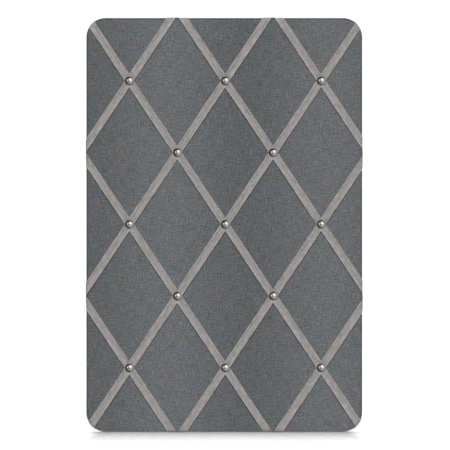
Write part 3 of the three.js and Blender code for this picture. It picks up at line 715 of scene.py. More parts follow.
# Meshes
class Skin:
    """Points, faces and places on the flat cloth of a piece in the making."""

    def __init__(self):
        self.points = []
        self.faces = []
        self.flat = []

    def add(self, point, flat=(0.0, 0.0)):
        self.points.append(point)
        self.flat.append(flat)
        return len(self.points) - 1

    def strips(self, rows):
        """Quads from each closed row of points to the next row."""
        for first, second in zip(rows, rows[1:]):
            count = len(first)
            for i in range(count):
                j = (i + 1) % count
                self.faces.append((first[i], second[i], second[j], first[j]))

    def wrap(self, rows):
        """Strips from row to row, with flat ends."""
        self.strips(rows)
        self.faces.append(tuple(rows[0]))
        self.faces.append(tuple(reversed(rows[-1])))

    def tube(self, sections, closed=False):
        """A skin over sections that follow each other, with flat ends unless it closes on itself."""
        rows = [[self.add(point) for point in section] for section in sections]
        if closed:
            self.strips(rows + rows[:1])
        else:
            self.wrap(rows)

    def piece(self, name, material, sharp_above=None):
        """The finished object. Edges sharper than an angle in degrees stay sharp."""
        mesh = bpy.data.meshes.new(name)
        mesh.from_pydata(self.points, [], self.faces)
        layer = mesh.uv_layers.new(name="cloth")
        for loop in mesh.loops:
            layer.data[loop.index].uv = self.flat[loop.vertex_index]
        mesh.materials.append(material)
        mesh.shade_smooth()
        if sharp_above:
            face_outward(mesh)
            mesh.set_sharp_from_angle(angle=math.radians(sharp_above))
        return show(name, mesh)


def face_outward(mesh):
    solid = bmesh.new()
    solid.from_mesh(mesh)
    bmesh.ops.recalc_face_normals(solid, faces=solid.faces)
    solid.to_mesh(mesh)
    solid.free()


def show(name, data):
    """A mesh, light or camera as an object of the scene."""
    shown = bpy.data.objects.new(name, data)
    bpy.context.scene.collection.objects.link(shown)
    return shown


def bake_modifiers(piece):
    """Turns a piece and its modifiers into a plain mesh."""
    depsgraph = bpy.context.evaluated_depsgraph_get()
    mesh = bpy.data.meshes.new_from_object(piece.evaluated_get(depsgraph))
    mesh.name = piece.name
    piece.modifiers.clear()
    piece.data = mesh


def settle(piece, body, slot, *nodes):
    """A finished piece rides a body and stands for CAD nodes, which it hides. The slot is not used."""
    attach(piece, body)
    if nodes:
        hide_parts(*nodes)


def grid_lines(half, radius, cell, corner_cells):
    """Places of grid lines from one side to the other, closer over the corners."""
    straight = half - radius
    count = max(round(2 * straight / cell), 1)
    middle = [straight * (2 * i / count - 1) for i in range(count + 1)]
    corner = [straight + radius * share for share in shares(corner_cells)]
    return [-place for place in reversed(corner)] + middle + corner


class RoundedGrid:
    """Quads that fill a rounded rectangle up to where its edge starts to roll, and their rim."""

    def __init__(self, half_x, half_z, radius, roll, cells):
        columns = grid_lines(half_x - roll, radius - roll, *cells)
        rows = grid_lines(half_z - roll, radius - roll, *cells)
        self.inner = Vector((half_x - radius, half_z - radius))
        self.points = [self.rounded(Vector((x, z))) for z in rows for x in columns]
        across = len(columns)
        up = len(rows)
        self.quads = []
        for row in range(up - 1):
            for column in range(across - 1):
                first = row * across + column
                self.quads.append((first, first + 1, first + across + 1, first + across))
        bottom = list(range(across - 1))
        right = [row * across + across - 1 for row in range(up - 1)]
        top = [(up - 1) * across + column for column in range(across - 1, 0, -1)]
        left = [row * across for row in range(up - 1, 0, -1)]
        self.rim = bottom + right + top + left

    def core_of(self, point):
        """The nearest place on the rectangle between the corner centres."""
        return Vector((
            clamp(point.x, -self.inner.x, self.inner.x),
            clamp(point.y, -self.inner.y, self.inner.y),
        ))

    def rounded(self, point):
        core = self.core_of(point)
        past = point - core
        return core + past.normalized() * max(abs(past.x), abs(past.y))

    def rim_places(self):
        """The points of the rim, each with its core and the way outward."""
        for index in self.rim:
            point = self.points[index]
            core = self.core_of(point)
            yield point, core, (point - core).normalized()


# The surface of the covered board
def past_straights(point):
    """How far a place lies past the straight part of the top or bottom, and of a side."""
    return abs(point.x) - (half_width - CORNER_RADIUS), abs(point.y) - (half_height - CORNER_RADIUS)


def edge_distance(point):
    """How far a place lies past the line where the edge starts to roll; negative on the front."""
    over_x, over_z = past_straights(point)
    past = math.hypot(max(over_x, 0), max(over_z, 0))
    return past + min(max(over_x, over_z), 0) - (CORNER_RADIUS - EDGE_ROLL)


def edge_normal(point):
    """The way outward from the nearest edge."""
    over_x, over_z = past_straights(point)
    normal = Vector((max(over_x, 0), max(over_z, 0)))
    if normal.length == 0:
        normal = Vector((1, 0)) if over_x > over_z else Vector((0, 1))
    return Vector((math.copysign(normal.x, point.x), math.copysign(normal.y, point.y))).normalized()


def tuft_at(point):
    """How far the nails draw the cloth in."""
    nearest = min((point - nail).length for nail in nails)
    return TUFT_DEPTH * ease((TUFT_REACH - nearest) / (TUFT_REACH - TUFT_FLOOR))


def line_distance(steps):
    """Distance from the nearest ribbon line, from the count of lattice steps across the lines."""
    nearest = clamp(round(steps / 2), -RIBBON_LINES, RIBBON_LINES)
    return abs(steps / 2 - nearest) * ribbon_spacing


def pillow_at(point):
    """How far the cloth swells between the ribbons."""
    place = point - centre_nail
    steps_x = place.x / lattice.x
    steps_z = place.y / lattice.y
    share = ease(-edge_distance(point) / PILLOW_REACH)
    for distance in (line_distance(steps_x - steps_z), line_distance(steps_x + steps_z)):
        share *= ease((distance - RIBBON_WIDTH / 2) / PILLOW_REACH)
    return PILLOW_RISE * share


def depth_at(point):
    """How far the cloth of the front lies behind the flat front; negative where it swells."""
    return tuft_at(point) - pillow_at(point)


def edge_profile(past, lift):
    """Where a layer lies some way past the roll line: (reach outward from that line, depth)."""
    front_radius = EDGE_ROLL + lift
    back_radius = BACK_ROLL + lift
    if past <= roll_length:
        angle = past / EDGE_ROLL
        return front_radius * math.sin(angle), front_y + EDGE_ROLL - front_radius * math.cos(angle)
    if past <= roll_length + side_length:
        return front_radius, front_y + EDGE_ROLL + past - roll_length
    turn = min((past - roll_length - side_length) / BACK_ROLL, QUARTER)
    reach = EDGE_ROLL - BACK_ROLL + back_radius * math.cos(turn)
    return reach, back_y - BACK_ROLL + back_radius * math.sin(turn)


def edge_stops(counts, end_length):
    """Distances past the roll line where the rows of a layer lie, on to some length along the back."""
    stops = []
    start = 0.0
    for length, count in zip((roll_length, side_length, back_roll_length, end_length), counts):
        stops.extend(start + length * share for share in shares(count))
        start += length
    return stops


# Ribbons
def quarter_turn(way):
    return Vector((-way.y, way.x))


def walk_to_edge(start, way):
    """The place where a straight way crosses the line where the edge starts to roll."""
    point = start.copy()
    for _ in range(WALK_STEPS):
        point += way * -edge_distance(point)
    return point


def slide_along_edge(start, distance):
    """The place some distance along the line where the edge starts to roll."""
    point = start.copy()
    for _ in range(SLIDE_STEPS):
        point += quarter_turn(edge_normal(point)) * (distance / SLIDE_STEPS)
        point += edge_normal(point) * -edge_distance(point)
    return point


class Fold:
    """How a ribbon that leaves the front one way runs over the edge and on along the back."""

    def __init__(self, anchor, way):
        crossing = walk_to_edge(anchor, way)
        outward = edge_normal(crossing)
        self.reach = (crossing - anchor).length
        self.climb = way.dot(outward)
        self.slant = way.dot(quarter_turn(outward)) / self.climb
        back_outward = edge_normal(slide_along_edge(crossing, self.slant * edge_length))
        self.tail_way = quarter_turn(back_outward) * self.slant - back_outward

    def lay(self, crossing, past, lift):
        """A point of a thread that crosses the roll line at a place, some way past that line."""
        foot = slide_along_edge(crossing, self.slant * min(past, edge_length))
        reach, depth = edge_profile(past, lift)
        place = foot + edge_normal(foot) * reach + self.tail_way * max(past - edge_length, 0)
        return at_depth(place, depth)


def over_share(distance):
    """How much of its lift a ribbon has at a distance from where it passes over another."""
    return ease((OVER_REACH - distance) / (OVER_REACH - OVER_FLAT))


class Ribbon:
    """One ribbon of the lattice, laid from edge to edge and on over the back."""

    def __init__(self, rises, offset):
        self.rises = rises
        across = -offset if rises else offset
        self.anchor = centre_nail + Vector((across * lattice.x, offset * lattice.y))
        self.way = Vector((lattice.x, lattice.y if rises else -lattice.y)).normalized()
        self.pitch = lattice.length
        self.nail_count = RIBBON_LINES - abs(offset)
        self.edge_crossing = (self.nail_count + 1) * self.pitch if offset else math.inf
        self.seed = 10 * offset + (3 if rises else 0)
        self.ends = [Fold(self.anchor, -self.way), Fold(self.anchor, self.way)]
        self.rows = round(sum(fold.reach for fold in self.ends) / RIBBON_ROW)

    def from_nail(self, station):
        """How far a station lies from the ribbon's nearest nail."""
        nearest = clamp(round(station / self.pitch), -self.nail_count, self.nail_count)
        return abs(station - nearest * self.pitch)

    def lift_at(self, station, fold):
        """How far a rising ribbon stands off because a falling one passes under it."""
        if not self.rises:
            return RIBBON_GAP
        to_edge_crossing = max(self.edge_crossing - EDGE_LEAD / fold.climb - abs(station), 0)
        return RIBBON_GAP + OVER_LIFT * max(over_share(self.from_nail(station)), over_share(to_edge_crossing))

    def loose_at(self, side, station, near_end):
        """How far the lower selvage hangs off the cloth between two nails."""
        free = min(self.from_nail(station) - OVER_FLAT, near_end)
        return LOOSE_LIFT * ease(free / LOOSE_REACH) * (0.5 - side / RIBBON_WIDTH)

    def front_point(self, side, station, near_end, thickness):
        fold = self.ends[station > 0]
        sample = Vector((station * WANDER_RATE, self.seed * WANDER_APART, 0))
        drift = RIBBON_WANDER * noise.noise(sample) * ease(near_end / LOOSE_REACH)
        place = self.anchor + self.way * station + quarter_turn(self.way) * (side + drift)
        lift = self.lift_at(station, fold) + self.loose_at(side, station, near_end)
        return at_depth(place, front_y + tuft_at(place) - lift - thickness)

    def thread(self, side, thickness):
        """The points of one thread from tail to tail, and their places along the flat ribbon."""
        start = self.anchor + quarter_turn(self.way) * side
        crossings = [walk_to_edge(start, -self.way), walk_to_edge(start, self.way)]
        first, last = [(crossing - start).dot(self.way) for crossing in crossings]
        runs = []
        for fold, crossing, station, end in zip(self.ends, crossings, (first, last), (-1, 1)):
            run = []
            for past in edge_stops(RIBBON_STEPS, RIBBON_TAIL):
                along = station + end * past / fold.climb
                thinned = 1 - EDGE_THINNING * ease(past / roll_length)
                lift = (self.lift_at(along, fold) + thickness) * thinned
                run.append((fold.lay(crossing, past, lift), along))
            runs.append(run)
        front = []
        for i in range(self.rows + 1):
            station = first + (last - first) * i / self.rows
            near_end = min(station - first, last - station)
            front.append((self.front_point(side, station, near_end, thickness), station))
        return runs[0][::-1] + front + runs[1]

    def build(self, name):
        cut_from = self.seed * ROLL_STEP
        skin = Skin()
        tops = []
        lows = []
        for share, thickness in RIBBON_SECTION:
            side = share * RIBBON_WIDTH / 2
            for rows, stand in ((tops, thickness), (lows, 0.0)):
                thread = self.thread(side, stand)
                rows.append([skin.add(point, (side, cut_from + along)) for point, along in thread])
        skin.wrap(list(zip(*(tops + lows[::-1]))))
        self.middle = [skin.points[index] for index in tops[len(tops) // 2]]
        self.length = sum((b - a).length for a, b in zip(self.middle, self.middle[1:]))
        self.piece = skin.piece(name, ribbon_cloth, sharp_above=60)


ribbons = []
for family, rises in (("falling", False), ("rising", True)):
    for number in range(1, 2 * RIBBON_LINES + 2):
        ribbon = Ribbon(rises, number - RIBBON_LINES - 1)
        node = f"ribbon_{family}_{number}"
        ribbon.build(f"cloth_{node}")
        settle(ribbon.piece, "board", "ribbon", node)
        ribbons.append(ribbon)


# Cover, with pleats on the back of its corners between the ribbon tails
laid_points = [point for ribbon in ribbons for point in ribbon.middle]
laid_ribbons = kdtree.KDTree(len(laid_points))
for index, point in enumerate(laid_points):
    laid_ribbons.insert(point, index)
laid_ribbons.balance()


def ring_place(core, outward, inset):
    """A place on the board's outline drawn in by an inset, beside a rim point of its front."""
    radius = max(CORNER_RADIUS - inset, LEAST_CORNER)
    shrink_x = (half_width - inset - radius) / (half_width - CORNER_RADIUS)
    shrink_z = (half_height - inset - radius) / (half_height - CORNER_RADIUS)
    return Vector((core.x * shrink_x + outward.x * radius, core.y * shrink_z + outward.y * radius))


def pleat_at(outward, inset, place):
    """How far the gathered cloth stands up on the back of a corner, clear of the ribbon tails."""
    turn = math.atan2(abs(outward.y), abs(outward.x)) / QUARTER
    clear = laid_ribbons.find(at_depth(place, back_y))[2]
    fold = 0.5 - 0.5 * math.cos(math.tau * PLEATS_PER_CORNER * turn)
    return PLEAT_RISE * fold * ease(inset / PLEAT_INSET) * ease((clear - PLEAT_CLEAR) / PLEAT_FADE)


def build_cover():
    grid = RoundedGrid(half_width, half_height, CORNER_RADIUS, EDGE_ROLL, COVER_CELLS)
    skin = Skin()
    for point in grid.points:
        skin.add(at_depth(point, front_y + depth_at(point)), tuple(point))
    skin.faces.extend(grid.quads)
    rows = [grid.rim]
    for past in edge_stops(COVER_STEPS, HEM_WIDTH - BACK_ROLL):
        reach, depth = edge_profile(past, 0.0)
        inset = EDGE_ROLL - reach + max(past - edge_length, 0)
        row = []
        for point, core, outward in grid.rim_places():
            place = ring_place(core, outward, inset)
            pleat = pleat_at(outward, inset, place) if past >= edge_length else 0
            row.append(skin.add(at_depth(place, depth + pleat), tuple(point + outward * past)))
        rows.append(row)
    skin.strips(rows)
    cover = skin.piece("linen_cover", linen)
    cloth = cover.modifiers.new("cloth", "SOLIDIFY")
    cloth.thickness = COVER_THICKNESS
    cloth.offset = -1
    bake_modifiers(cover)
    settle(cover, "board", "cover_fabric", "fabric_cover")
    return cover


cover = build_cover()


# Foam pad and back panel: rounded plates
def rounded_edge(front, back, radius):
    """Rows round the edge of a plate with both rims rounded, as (outward, depth)."""
    rows = []
    for angle in quarter_arc(PLATE_EDGE_STEPS):
        rows.append((radius * math.sin(angle), front + radius * (1 - math.cos(angle))))
    mirrored = [(reach, front + back - depth) for reach, depth in reversed(rows)]
    return rows + mirrored


def build_plate(name, material, box, corner, roll, cells, front_dent, back_dent):
    """A closed plate with rounded rims that fills a box, dented by a depth at each place of its two faces."""
    low, high = box
    grid = RoundedGrid(high.x, high.z, corner, roll, cells)
    skin = Skin()
    front_points = [skin.add(at_depth(point, low.y + front_dent(point))) for point in grid.points]
    back_points = [skin.add(at_depth(point, high.y - back_dent(point))) for point in grid.points]
    skin.faces.extend(grid.quads)
    for quad in grid.quads:
        skin.faces.append(tuple(back_points[index] for index in reversed(quad)))
    rows = [[front_points[index] for index in grid.rim]]
    for reach, depth in rounded_edge(low.y, high.y, roll):
        places = [point + outward * reach for point, _, outward in grid.rim_places()]
        rows.append([skin.add(at_depth(place, depth)) for place in places])
    rows.append([back_points[index] for index in grid.rim])
    skin.strips(rows)
    return skin.piece(name, material)


def no_dent(place):
    return 0.0


foam_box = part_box("padding")
pad = build_plate("foam_pad", foam, foam_box, CORNER_RADIUS, FOAM_ROLL, FOAM_CELLS, depth_at, no_dent)
settle(pad, "board", "foam", "padding")


def staple_places():
    """Places along the back panel's rim with the way of the rim there, unevenly spaced as by hand."""
    chance = random.Random(STAPLE_PLACE_SEED)
    half_x = panel_high.x - STAPLE_INSET
    half_z = panel_high.z - STAPLE_INSET
    places = []
    for along, half, across in ((Vector((1, 0)), half_x, half_z), (Vector((0, 1)), half_z, half_x)):
        count = round(2 * half / STAPLE_SPACING)
        for end in (-1, 1):
            for i in range(count):
                station = half * (2 * (i + 0.5) / count - 1) + chance.uniform(-STAPLE_STRAY, STAPLE_STRAY)
                place = along * station + Vector((along.y, along.x)) * (across * end)
                turn = QUARTER * along.y + chance.uniform(-STAPLE_TURN, STAPLE_TURN)
                places.append((place, turn))
    return places


staples_at = staple_places()


def staple_dent(place):
    """How far the lining is drawn in beside a staple."""
    nearest = min((place - at).length for at, _ in staples_at)
    return DENT_DEPTH * ease(1 - nearest / DENT_REACH)


panel_box = (panel_low, panel_high)
panel = build_plate(
    "lined_back_panel", lining, panel_box, PANEL_CORNER, PANEL_EDGE, PANEL_CELLS, no_dent, staple_dent
)
settle(panel, "board", "back_lining", "back_panel")


# Nails and staples: geometry node trees that set a shape at points
def grow(name, points, turns, tree, **values):
    """A piece that a geometry node tree makes from points with turns, and from values for its inputs."""
    mesh = bpy.data.meshes.new(name)
    mesh.from_pydata(points, [], [])
    mesh.attributes.new("turn", "FLOAT", "POINT").data.foreach_set("value", turns)
    piece = show(name, mesh)
    modifier = piece.modifiers.new("grow", "NODES")
    modifier.node_group = tree
    sockets = {item.name: item.identifier for item in tree.interface.items_tree if item.in_out == "INPUT"}
    for label, value in values.items():
        modifier[sockets[label_of(label)]] = value
    bake_modifiers(piece)
    return piece


def shape_tree(name, sizes):
    """A tree that sets a shape with named sizes at points."""
    placing = {"Points": "Geometry", "Facing": "Vector", "Lean": "Float", "Seed": "Int", "Finish": "Material"}
    inputs = {**placing, **dict.fromkeys(sizes, "Float")}
    return new_tree(name, "GeometryNodeTree", inputs, {"Geometry": "Geometry"})


def place_shape(wires, given, shape, result):
    """Sets a shape at each point, facing along the depth, turned by the points' own turn and a small lean."""
    lean = given["Lean"]
    limits = {0: wires.vector(lean * -1.0, lean * -1.0), 1: wires.vector(lean, lean), "Seed": given["Seed"]}
    turn = wires.take("GeometryNodeInputNamedAttribute", {"Name": "turn"}, data_type="FLOAT")
    tip = wires.take("FunctionNodeRandomValue", limits, data_type="FLOAT_VECTOR")
    rotation = wires.take("FunctionNodeEulerToRotation", {0: given["Facing"]})
    for angles in (wires.vector(0.0, 0.0, turn), tip):
        step = wires.take("FunctionNodeEulerToRotation", {0: angles})
        rotation = wires.take("FunctionNodeRotateRotation", {0: rotation, 1: step}, rotation_space="LOCAL")
    smooth = wires.take("GeometryNodeSetShadeSmooth", {"Geometry": shape})
    inputs = {"Points": given["Points"], "Instance": smooth, "Rotation": rotation}
    set_out = wires.take("GeometryNodeInstanceOnPoints", inputs)
    solid = wires.take("GeometryNodeRealizeInstances", {0: set_out})
    finished = wires.take("GeometryNodeSetMaterial", {0: solid, "Material": given["Finish"]})
    wires.feed(result["Geometry"], finished)


def nail_tree():
    """Round heads: a ball whose upper half becomes a low cap on a rim, with the lower half pressed flat."""
    wires, given, result = shape_tree("domed_nails", ["Head Radius", "Head Height", "Rim Height"])
    sides = {"Segments": NAIL_SIDES, "Rings": NAIL_RINGS, "Radius": 1.0}
    ball = wires.take("GeometryNodeMeshUVSphere", sides)
    x, y, z = wires.split(wires.take("GeometryNodeInputPosition"))
    radius = given["Head Radius"]
    height = given["Head Height"]
    rise = height - given["Rim Height"]
    ball_radius = (radius * radius + rise * rise) / (rise * 2.0)
    out_squared = wires.math("SUBTRACT", 1.0, z * z) * (radius * radius)
    cap = wires.math("SQRT", ball_radius * ball_radius - out_squared) - ball_radius + height
    head = wires.vector(x * radius, y * radius, cap * wires.math("GREATER_THAN", z, 0.001))
    shape = wires.take("GeometryNodeSetPosition", {"Geometry": ball, "Position": head})
    place_shape(wires, given, shape, result)
    return wires.tree


def staple_tree():
    """Wire staples: a crown with two bent legs."""
    wires, given, result = shape_tree("staples", ["Crown", "Leg", "Wire"])
    # The middle two of four points become the crown
    line = wires.take("GeometryNodeMeshLine", {"Count": 4})
    index = wires.take("GeometryNodeInputIndex")
    on_right = wires.math("GREATER_THAN", index, 1.5)
    on_crown = wires.math("COMPARE", index, 1.5, 0.6)
    bend = wires.vector(given["Crown"] * 0.5 * (on_right * 2.0 - 1.0), 0.0, given["Leg"] * (on_crown - 1.0))
    bent = wires.take("GeometryNodeSetPosition", {"Geometry": line, "Position": bend})
    path = wires.take("GeometryNodeMeshToCurve", {"Mesh": bent})
    rounding = {"Curve": path, "Radius": given["Wire"], "Count": STAPLE_BEND_STEPS}
    rounded = wires.take("GeometryNodeFilletCurve", rounding, mode="POLY")
    round_wire = {"Resolution": STAPLE_SIDES, "Radius": given["Wire"] * 0.5}
    section = wires.take("GeometryNodeCurvePrimitiveCircle", round_wire)
    inputs = {"Curve": rounded, "Profile Curve": section, "Fill Caps": True}
    place_shape(wires, given, wires.take("GeometryNodeCurveToMesh", inputs), result)
    return wires.tree


nail_low, nail_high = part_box(nail_names[0])
heads = grow(
    "nail_heads",
    [at_depth(nail, nail_low.y + NAIL_HEIGHT) for nail in nails],
    [NAIL_TURN * index for index in range(len(nails))],
    nail_tree(),
    facing=(QUARTER, 0.0, 0.0),
    lean=NAIL_LEAN,
    seed=NAIL_SEED,
    finish=nickel,
    head_radius=(nail_high.x - nail_low.x) / 2,
    head_height=NAIL_HEIGHT,
    rim_height=NAIL_RIM,
)
settle(heads, "board", "nickel", *nail_names)

staples = grow(
    "panel_staples",
    [at_depth(place, panel_high.y + STAPLE_STAND) for place, _ in staples_at],
    [turn for _, turn in staples_at],
    staple_tree(),
    facing=(-QUARTER, 0.0, 0.0),
    lean=STAPLE_LEAN,
    seed=STAPLE_LEAN_SEED,
    finish=zinc,
    crown=STAPLE_WIDTH,
    leg=STAPLE_LEG,
    wire=STAPLE_WIRE,
)
settle(staples, "board", "zinc_plate")


# Turned shapes: bumpers and screws
def lathe(skin, centre, profile, steps):
    """Turns (radius, depth) points about the depth axis through a place."""
    spokes = [(math.cos(angle), math.sin(angle)) for angle in circle(steps)]
    sections = []
    for radius, depth in profile:
        sections.append([centre + Vector((radius * x, depth, radius * z)) for x, z in spokes])
    skin.tube(sections)


def build_bumpers():
    skin = Skin()
    for name in bumper_names:
        low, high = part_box(name)
        radius = (high.x - low.x) / 2
        height = high.y - low.y
        profile = [(radius - BUMPER_FOOT, 0.0), (radius, BUMPER_FOOT)]
        for angle in [0.0] + quarter_arc(BUMPER_ROUND_STEPS):
            inset = BUMPER_ROUND * (1 - math.cos(angle))
            profile.append((radius - inset, height - BUMPER_ROUND * (1 - math.sin(angle))))
        place = middle_of(name)
        lathe(skin, at_depth(place.xz, low.y), profile, BUMPER_SIDES)
    bumpers = skin.piece("rubber_bumpers", rubber, sharp_above=50)
    settle(bumpers, "board", "bumper_rubber", *bumper_names)


build_bumpers()


def build_recess(middle):
    """The cross that a driver fits: two tapered slots at a right angle, through the top of a screw."""
    rows_at = ((RECESS_FOOT, -RECESS_DEPTH), (RECESS_TOP, RECESS_ABOVE))
    skin = Skin()
    for turn in (RECESS_TURN, RECESS_TURN + QUARTER):
        spin = Matrix.Rotation(turn, 3, "Y")
        rows = []
        for reach, rise in rows_at:
            corners = [Vector((a * reach, 0, b * RECESS_WIDTH / 2)) for a, b in SQUARE]
            rows.append([middle + Vector((0, rise, 0)) + spin @ corner for corner in corners])
        skin.tube(rows)
    return skin.piece("recess", zinc, sharp_above=10)


def build_screw(side):
    node = f"hanger_screw_{side}"
    low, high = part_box(node)
    place = middle_of(node).xz
    seat = high.y - SCREW_RISE
    rim = seat + SCREW_EDGE
    profile = [(SCREW_SHANK, low.y), (SCREW_SHANK, seat), (SCREW_RIM, seat), (SCREW_RIM, rim)]
    for angle in quarter_arc(SCREW_DOME_STEPS)[:-1]:
        profile.append((SCREW_RIM * math.cos(angle), rim + (high.y - rim) * math.sin(angle)))
    skin = Skin()
    lathe(skin, at_depth(place, 0), profile, SCREW_SIDES)
    screw = skin.piece(f"cross_screw_{side}", zinc, sharp_above=METAL_SHARP)
    cutter = build_recess(at_depth(place, high.y))
    cut = screw.modifiers.new("recess", "BOOLEAN")
    cut.object = cutter
    cut.operation = "DIFFERENCE"
    cut.solver = "EXACT"
    cut.use_self = True
    bake_modifiers(screw)
    bpy.data.objects.remove(cutter)
    screw.data.set_sharp_from_angle(angle=math.radians(METAL_SHARP))
    settle(screw, "board", "zinc_plate", node)


# Hangers: a folded strap that holds a D-ring
def strap_path(hinge, bottom, half):
    """Middle of the strap's sheet as (depth, height): up from the round end, round the loop, down again."""
    leaf = hinge.y - STRAP_LOOP
    second_leaf = leaf + STRAP_GAUGE
    round_end = [bottom + half * (1 - math.cos(angle)) for angle in quarter_arc(STRAP_END_STEPS)]
    path = [Vector((leaf, height)) for height in round_end + [hinge.z - STRAP_GAUGE]]
    for share in [0.0] + shares(STRAP_WRAP_STEPS):
        turn = math.pi - STRAP_WRAP * share
        path.append(Vector((hinge.y + STRAP_LOOP * math.cos(turn), hinge.z + STRAP_LOOP * math.sin(turn))))
    slope = path[-1].x - second_leaf
    knee = Vector((second_leaf, path[-1].y - slope))
    path.append(path[-1].lerp(knee, STRAP_KNEE_SHARE))
    below_knee = [knee.y - STRAP_GAUGE, knee.y - 2 * STRAP_GAUGE]
    path.extend(Vector((second_leaf, height)) for height in below_knee + round_end[::-1])
    return path


def strap_section(centre, normal, x, half):
    """A chamfered section across the strap."""
    half_gauge = STRAP_GAUGE / 2 * STRAP_FILL
    flat = half - STRAP_CHAMFER
    side = half_gauge - STRAP_CHAMFER
    corners = (
        (-flat, -half_gauge), (flat, -half_gauge), (half, -side), (half, side),
        (flat, half_gauge), (-flat, half_gauge), (-half, side), (-half, -side),
    )
    return [Vector((x + across, *(centre + normal * out))) for across, out in corners]


def build_strap(side, hinge):
    node = f"hanger_strap_{side}"
    low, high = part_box(node)
    half = (high.x - low.x) / 2
    path = strap_path(hinge, low.z, half)
    sections = []
    for i, centre in enumerate(path):
        ahead = path[min(i + 1, len(path) - 1)] - path[max(i - 1, 0)]
        normal = Vector((ahead.y, -ahead.x)).normalized()
        into_round = max(low.z + half - centre.y, 0)
        sections.append(strap_section(centre, normal, hinge.x, math.sqrt(half ** 2 - into_round ** 2)))
    skin = Skin()
    skin.tube(sections)
    strap = skin.piece(f"folded_strap_{side}", zinc, sharp_above=METAL_SHARP)
    settle(strap, "board", "zinc_plate", node)


def ring_path():
    """The D-ring's middle line about its hinge: a straight side and a bow, as (across, up)."""
    straight = RING_HALF_WIDTH - RING_CORNER
    rise = RING_REACH - RING_CORNER
    base = [(straight * (2 * share - 1), 0) for share in [0.0] + shares(RING_STRAIGHT_STEPS)]
    corner = []
    for angle in quarter_arc(RING_CORNER_STEPS):
        corner.append((straight + RING_CORNER * math.sin(angle), RING_CORNER * (1 - math.cos(angle))))
    bow = []
    for share in shares(RING_BOW_STEPS)[:-1]:
        angle = math.pi * share
        bow.append((RING_HALF_WIDTH * math.cos(angle), RING_CORNER + rise * math.sin(angle)))
    mirrored = [(-across, up) for across, up in reversed(corner)]
    return [Vector(place) for place in base + corner + bow + mirrored]


def build_ring(side, hinge):
    """The ring leans on the back panel at rest."""
    lean = math.asin((hinge.y - panel_high.y - RING_WIRE / 2 - LAYER_GAP) / RING_REACH)
    tilt = Matrix.Rotation(lean, 3, "X")
    path = ring_path()
    sections = []
    for i, point in enumerate(path):
        ahead = (path[(i + 1) % len(path)] - path[i - 1]).normalized()
        outward = Vector((ahead.y, 0, -ahead.x))
        spokes = []
        for angle in circle(RING_SIDES):
            spokes.append(outward * math.cos(angle) + Vector((0, math.sin(angle), 0)))
        sections.append([hinge + tilt @ (at_depth(point, 0) + spoke * RING_WIRE / 2) for spoke in spokes])
    skin = Skin()
    skin.tube(sections, closed=True)
    ring = skin.piece(f"wire_ring_{side}", zinc, sharp_above=60)
    settle(ring, f"{side}_ring", "zinc_plate", f"hanger_ring_{side}")


for joint in frame["joints"]:
    side = joint["child"].removesuffix("_ring")
    hinge = Vector(joint["pos_m"])
    build_strap(side, hinge)
    build_ring(side, hinge)
    build_screw(side)

core_mesh = frame["nodes"]["core_board"].data
core_mesh.materials.clear()
core_mesh.materials.append(fibreboard)


# Sizes of the cloth that the pieces are cut from, worked out and not kept
cut_margin = edge_length + HEM_WIDTH - EDGE_ROLL - BACK_ROLL
2 * (half_width + cut_margin)
2 * (half_height + cut_margin)


# Stage: pale floor, soft light from above the front, camera square to the front
def build_floor():
    """A floor that the camera sees lit, that glows softly on the object, and that is clear from below."""
    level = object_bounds()[0][2]
    skin = Skin()
    skin.faces.append(tuple(skin.add(Vector((a * FLOOR_HALF, b * FLOOR_HALF, level))) for a, b in SQUARE))
    material = bpy.data.materials.new("pale_floor")
    wires = blank_wiring(material)
    seen = wires.take("ShaderNodeLightPath", output="Is Camera Ray")
    glow = wires.take("ShaderNodeEmission", {"Color": colour(1.0, 1.0, 1.0), "Strength": FLOOR_GLOW})
    paper = wires.take("ShaderNodeBsdfDiffuse", {"Color": colour(FLOOR_PAPER, FLOOR_PAPER, FLOOR_PAPER)})
    least = wires.take("ShaderNodeEmission", {"Strength": FLOOR_LEAST})
    lit = wires.take("ShaderNodeAddShader", {0: paper, 1: least})
    top = wires.take("ShaderNodeMixShader", {0: seen, 1: glow, 2: lit})
    below = wires.take("ShaderNodeNewGeometry", output="Backfacing")
    clear = wires.take("ShaderNodeBsdfTransparent")
    surface = wires.take("ShaderNodeMixShader", {0: below, 1: top, 2: clear})
    wires.add("ShaderNodeOutputMaterial", {"Surface": surface})
    floor = skin.piece("floor", material)
    floor.visible_glossy = False
    floor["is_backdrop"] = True
    return floor


def build_world():
    """White behind the object; softer light round it, brightest above and to the right of the camera."""
    world = bpy.data.worlds.new("studio")
    bpy.context.scene.world = world
    wires = blank_wiring(world)
    path = wires.fields(wires.add("ShaderNodeLightPath"))
    way = wires.take("ShaderNodeTexCoord", output="Generated")

    def toward(direction):
        inputs = {0: way, 1: Vector(direction).normalized()}
        return wires.take("ShaderNodeVectorMath", inputs, output="Value", operation="DOT_PRODUCT")

    glow = wires.remap(toward(SKY_WAY), *SKY_COSINES, SKY_LEAST, SKY_MOST)
    mirrored = MIRROR_LEAST
    for way_to, least, full, brightness in SOFTBOXES:
        mirrored = wires.remap(toward(way_to), least, full, 0.0, brightness) + mirrored
    unseen = wires.between(path["Is Glossy Ray"], glow, mirrored)
    strength = wires.between(path["Is Camera Ray"], unseen, BACKDROP)
    light = wires.take("ShaderNodeBackground", {"Color": colour(1.0, 1.0, 1.0), "Strength": strength})
    wires.add("ShaderNodeOutputWorld", {"Surface": light})


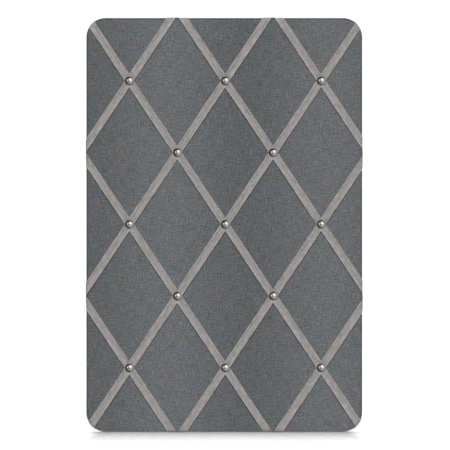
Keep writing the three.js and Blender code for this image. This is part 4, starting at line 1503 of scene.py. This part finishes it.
def add_light(name, kind, way, strength):
    """A light that shines from a direction."""
    light = show(name, bpy.data.lights.new(name, kind))
    light.data.energy = strength
    light.rotation_euler = Vector(way).to_track_quat("Z", "Y").to_euler()
    return light


def add_sun(name, way, strength, spread):
    """A sun whose spread is its width in degrees."""
    sun = add_light(name, "SUN", way, strength)
    sun.data.angle = math.radians(spread)
    return sun


def add_corner_fill(name, aim):
    """A soft spot that lights the floor under a round corner of the board."""
    fill = add_light(name, "SPOT", CORNER_FILL_WAY, CORNER_FILL_POWER)
    fill.location = aim + CORNER_FILL_WAY
    fill.data.spot_size = 2 * math.atan(CORNER_FILL_REACH / CORNER_FILL_WAY.length)
    fill.data.spot_blend = 1.0
    fill.data.shadow_soft_size = 0.0
    return fill


def build_camera():
    lens = bpy.data.cameras.new("photo_camera")
    lens.lens = lens.sensor_width * CAMERA_DISTANCE / PHOTO_SPAN
    lens.clip_end = CAMERA_FAR
    camera = show("photo_camera", lens)
    camera.location = (PHOTO_OFFSET.x, front_y + EDGE_ROLL - CAMERA_DISTANCE, PHOTO_OFFSET.y)
    camera.rotation_euler = (QUARTER, 0, 0)
    bpy.context.scene.camera = camera


floor = build_floor()
build_world()
for sun in SUNS:
    add_sun(*sun).visible_glossy = False
floor_only = bpy.data.collections.new("floor_only")
floor_only.objects.link(floor)
for i in range(FLOOR_SUNS):
    share = (i + 0.5) / FLOOR_SUNS
    way = (FLOOR_SUN_TILT, FLOOR_SUN_LEAN * share, 1.0)
    strength = FLOOR_SUN_STRENGTH * (1 - FLOOR_SUN_FALL * share)
    sun = add_sun(f"floor_light_{i + 1}", way, strength, FLOOR_SUN_SPREAD)
    sun.light_linking.receiver_collection = floor_only
for side, end in (("left", -1), ("right", 1)):
    outside = end * (half_width + CORNER_FILL_STEP.x)
    aim = Vector((outside, front_y + CORNER_FILL_STEP.y, cad_box[0][2]))
    fill = add_corner_fill(f"corner_fill_{side}", aim)
    fill.light_linking.receiver_collection = floor_only
build_camera()
bpy.context.scene.view_settings.view_transform = "Standard"
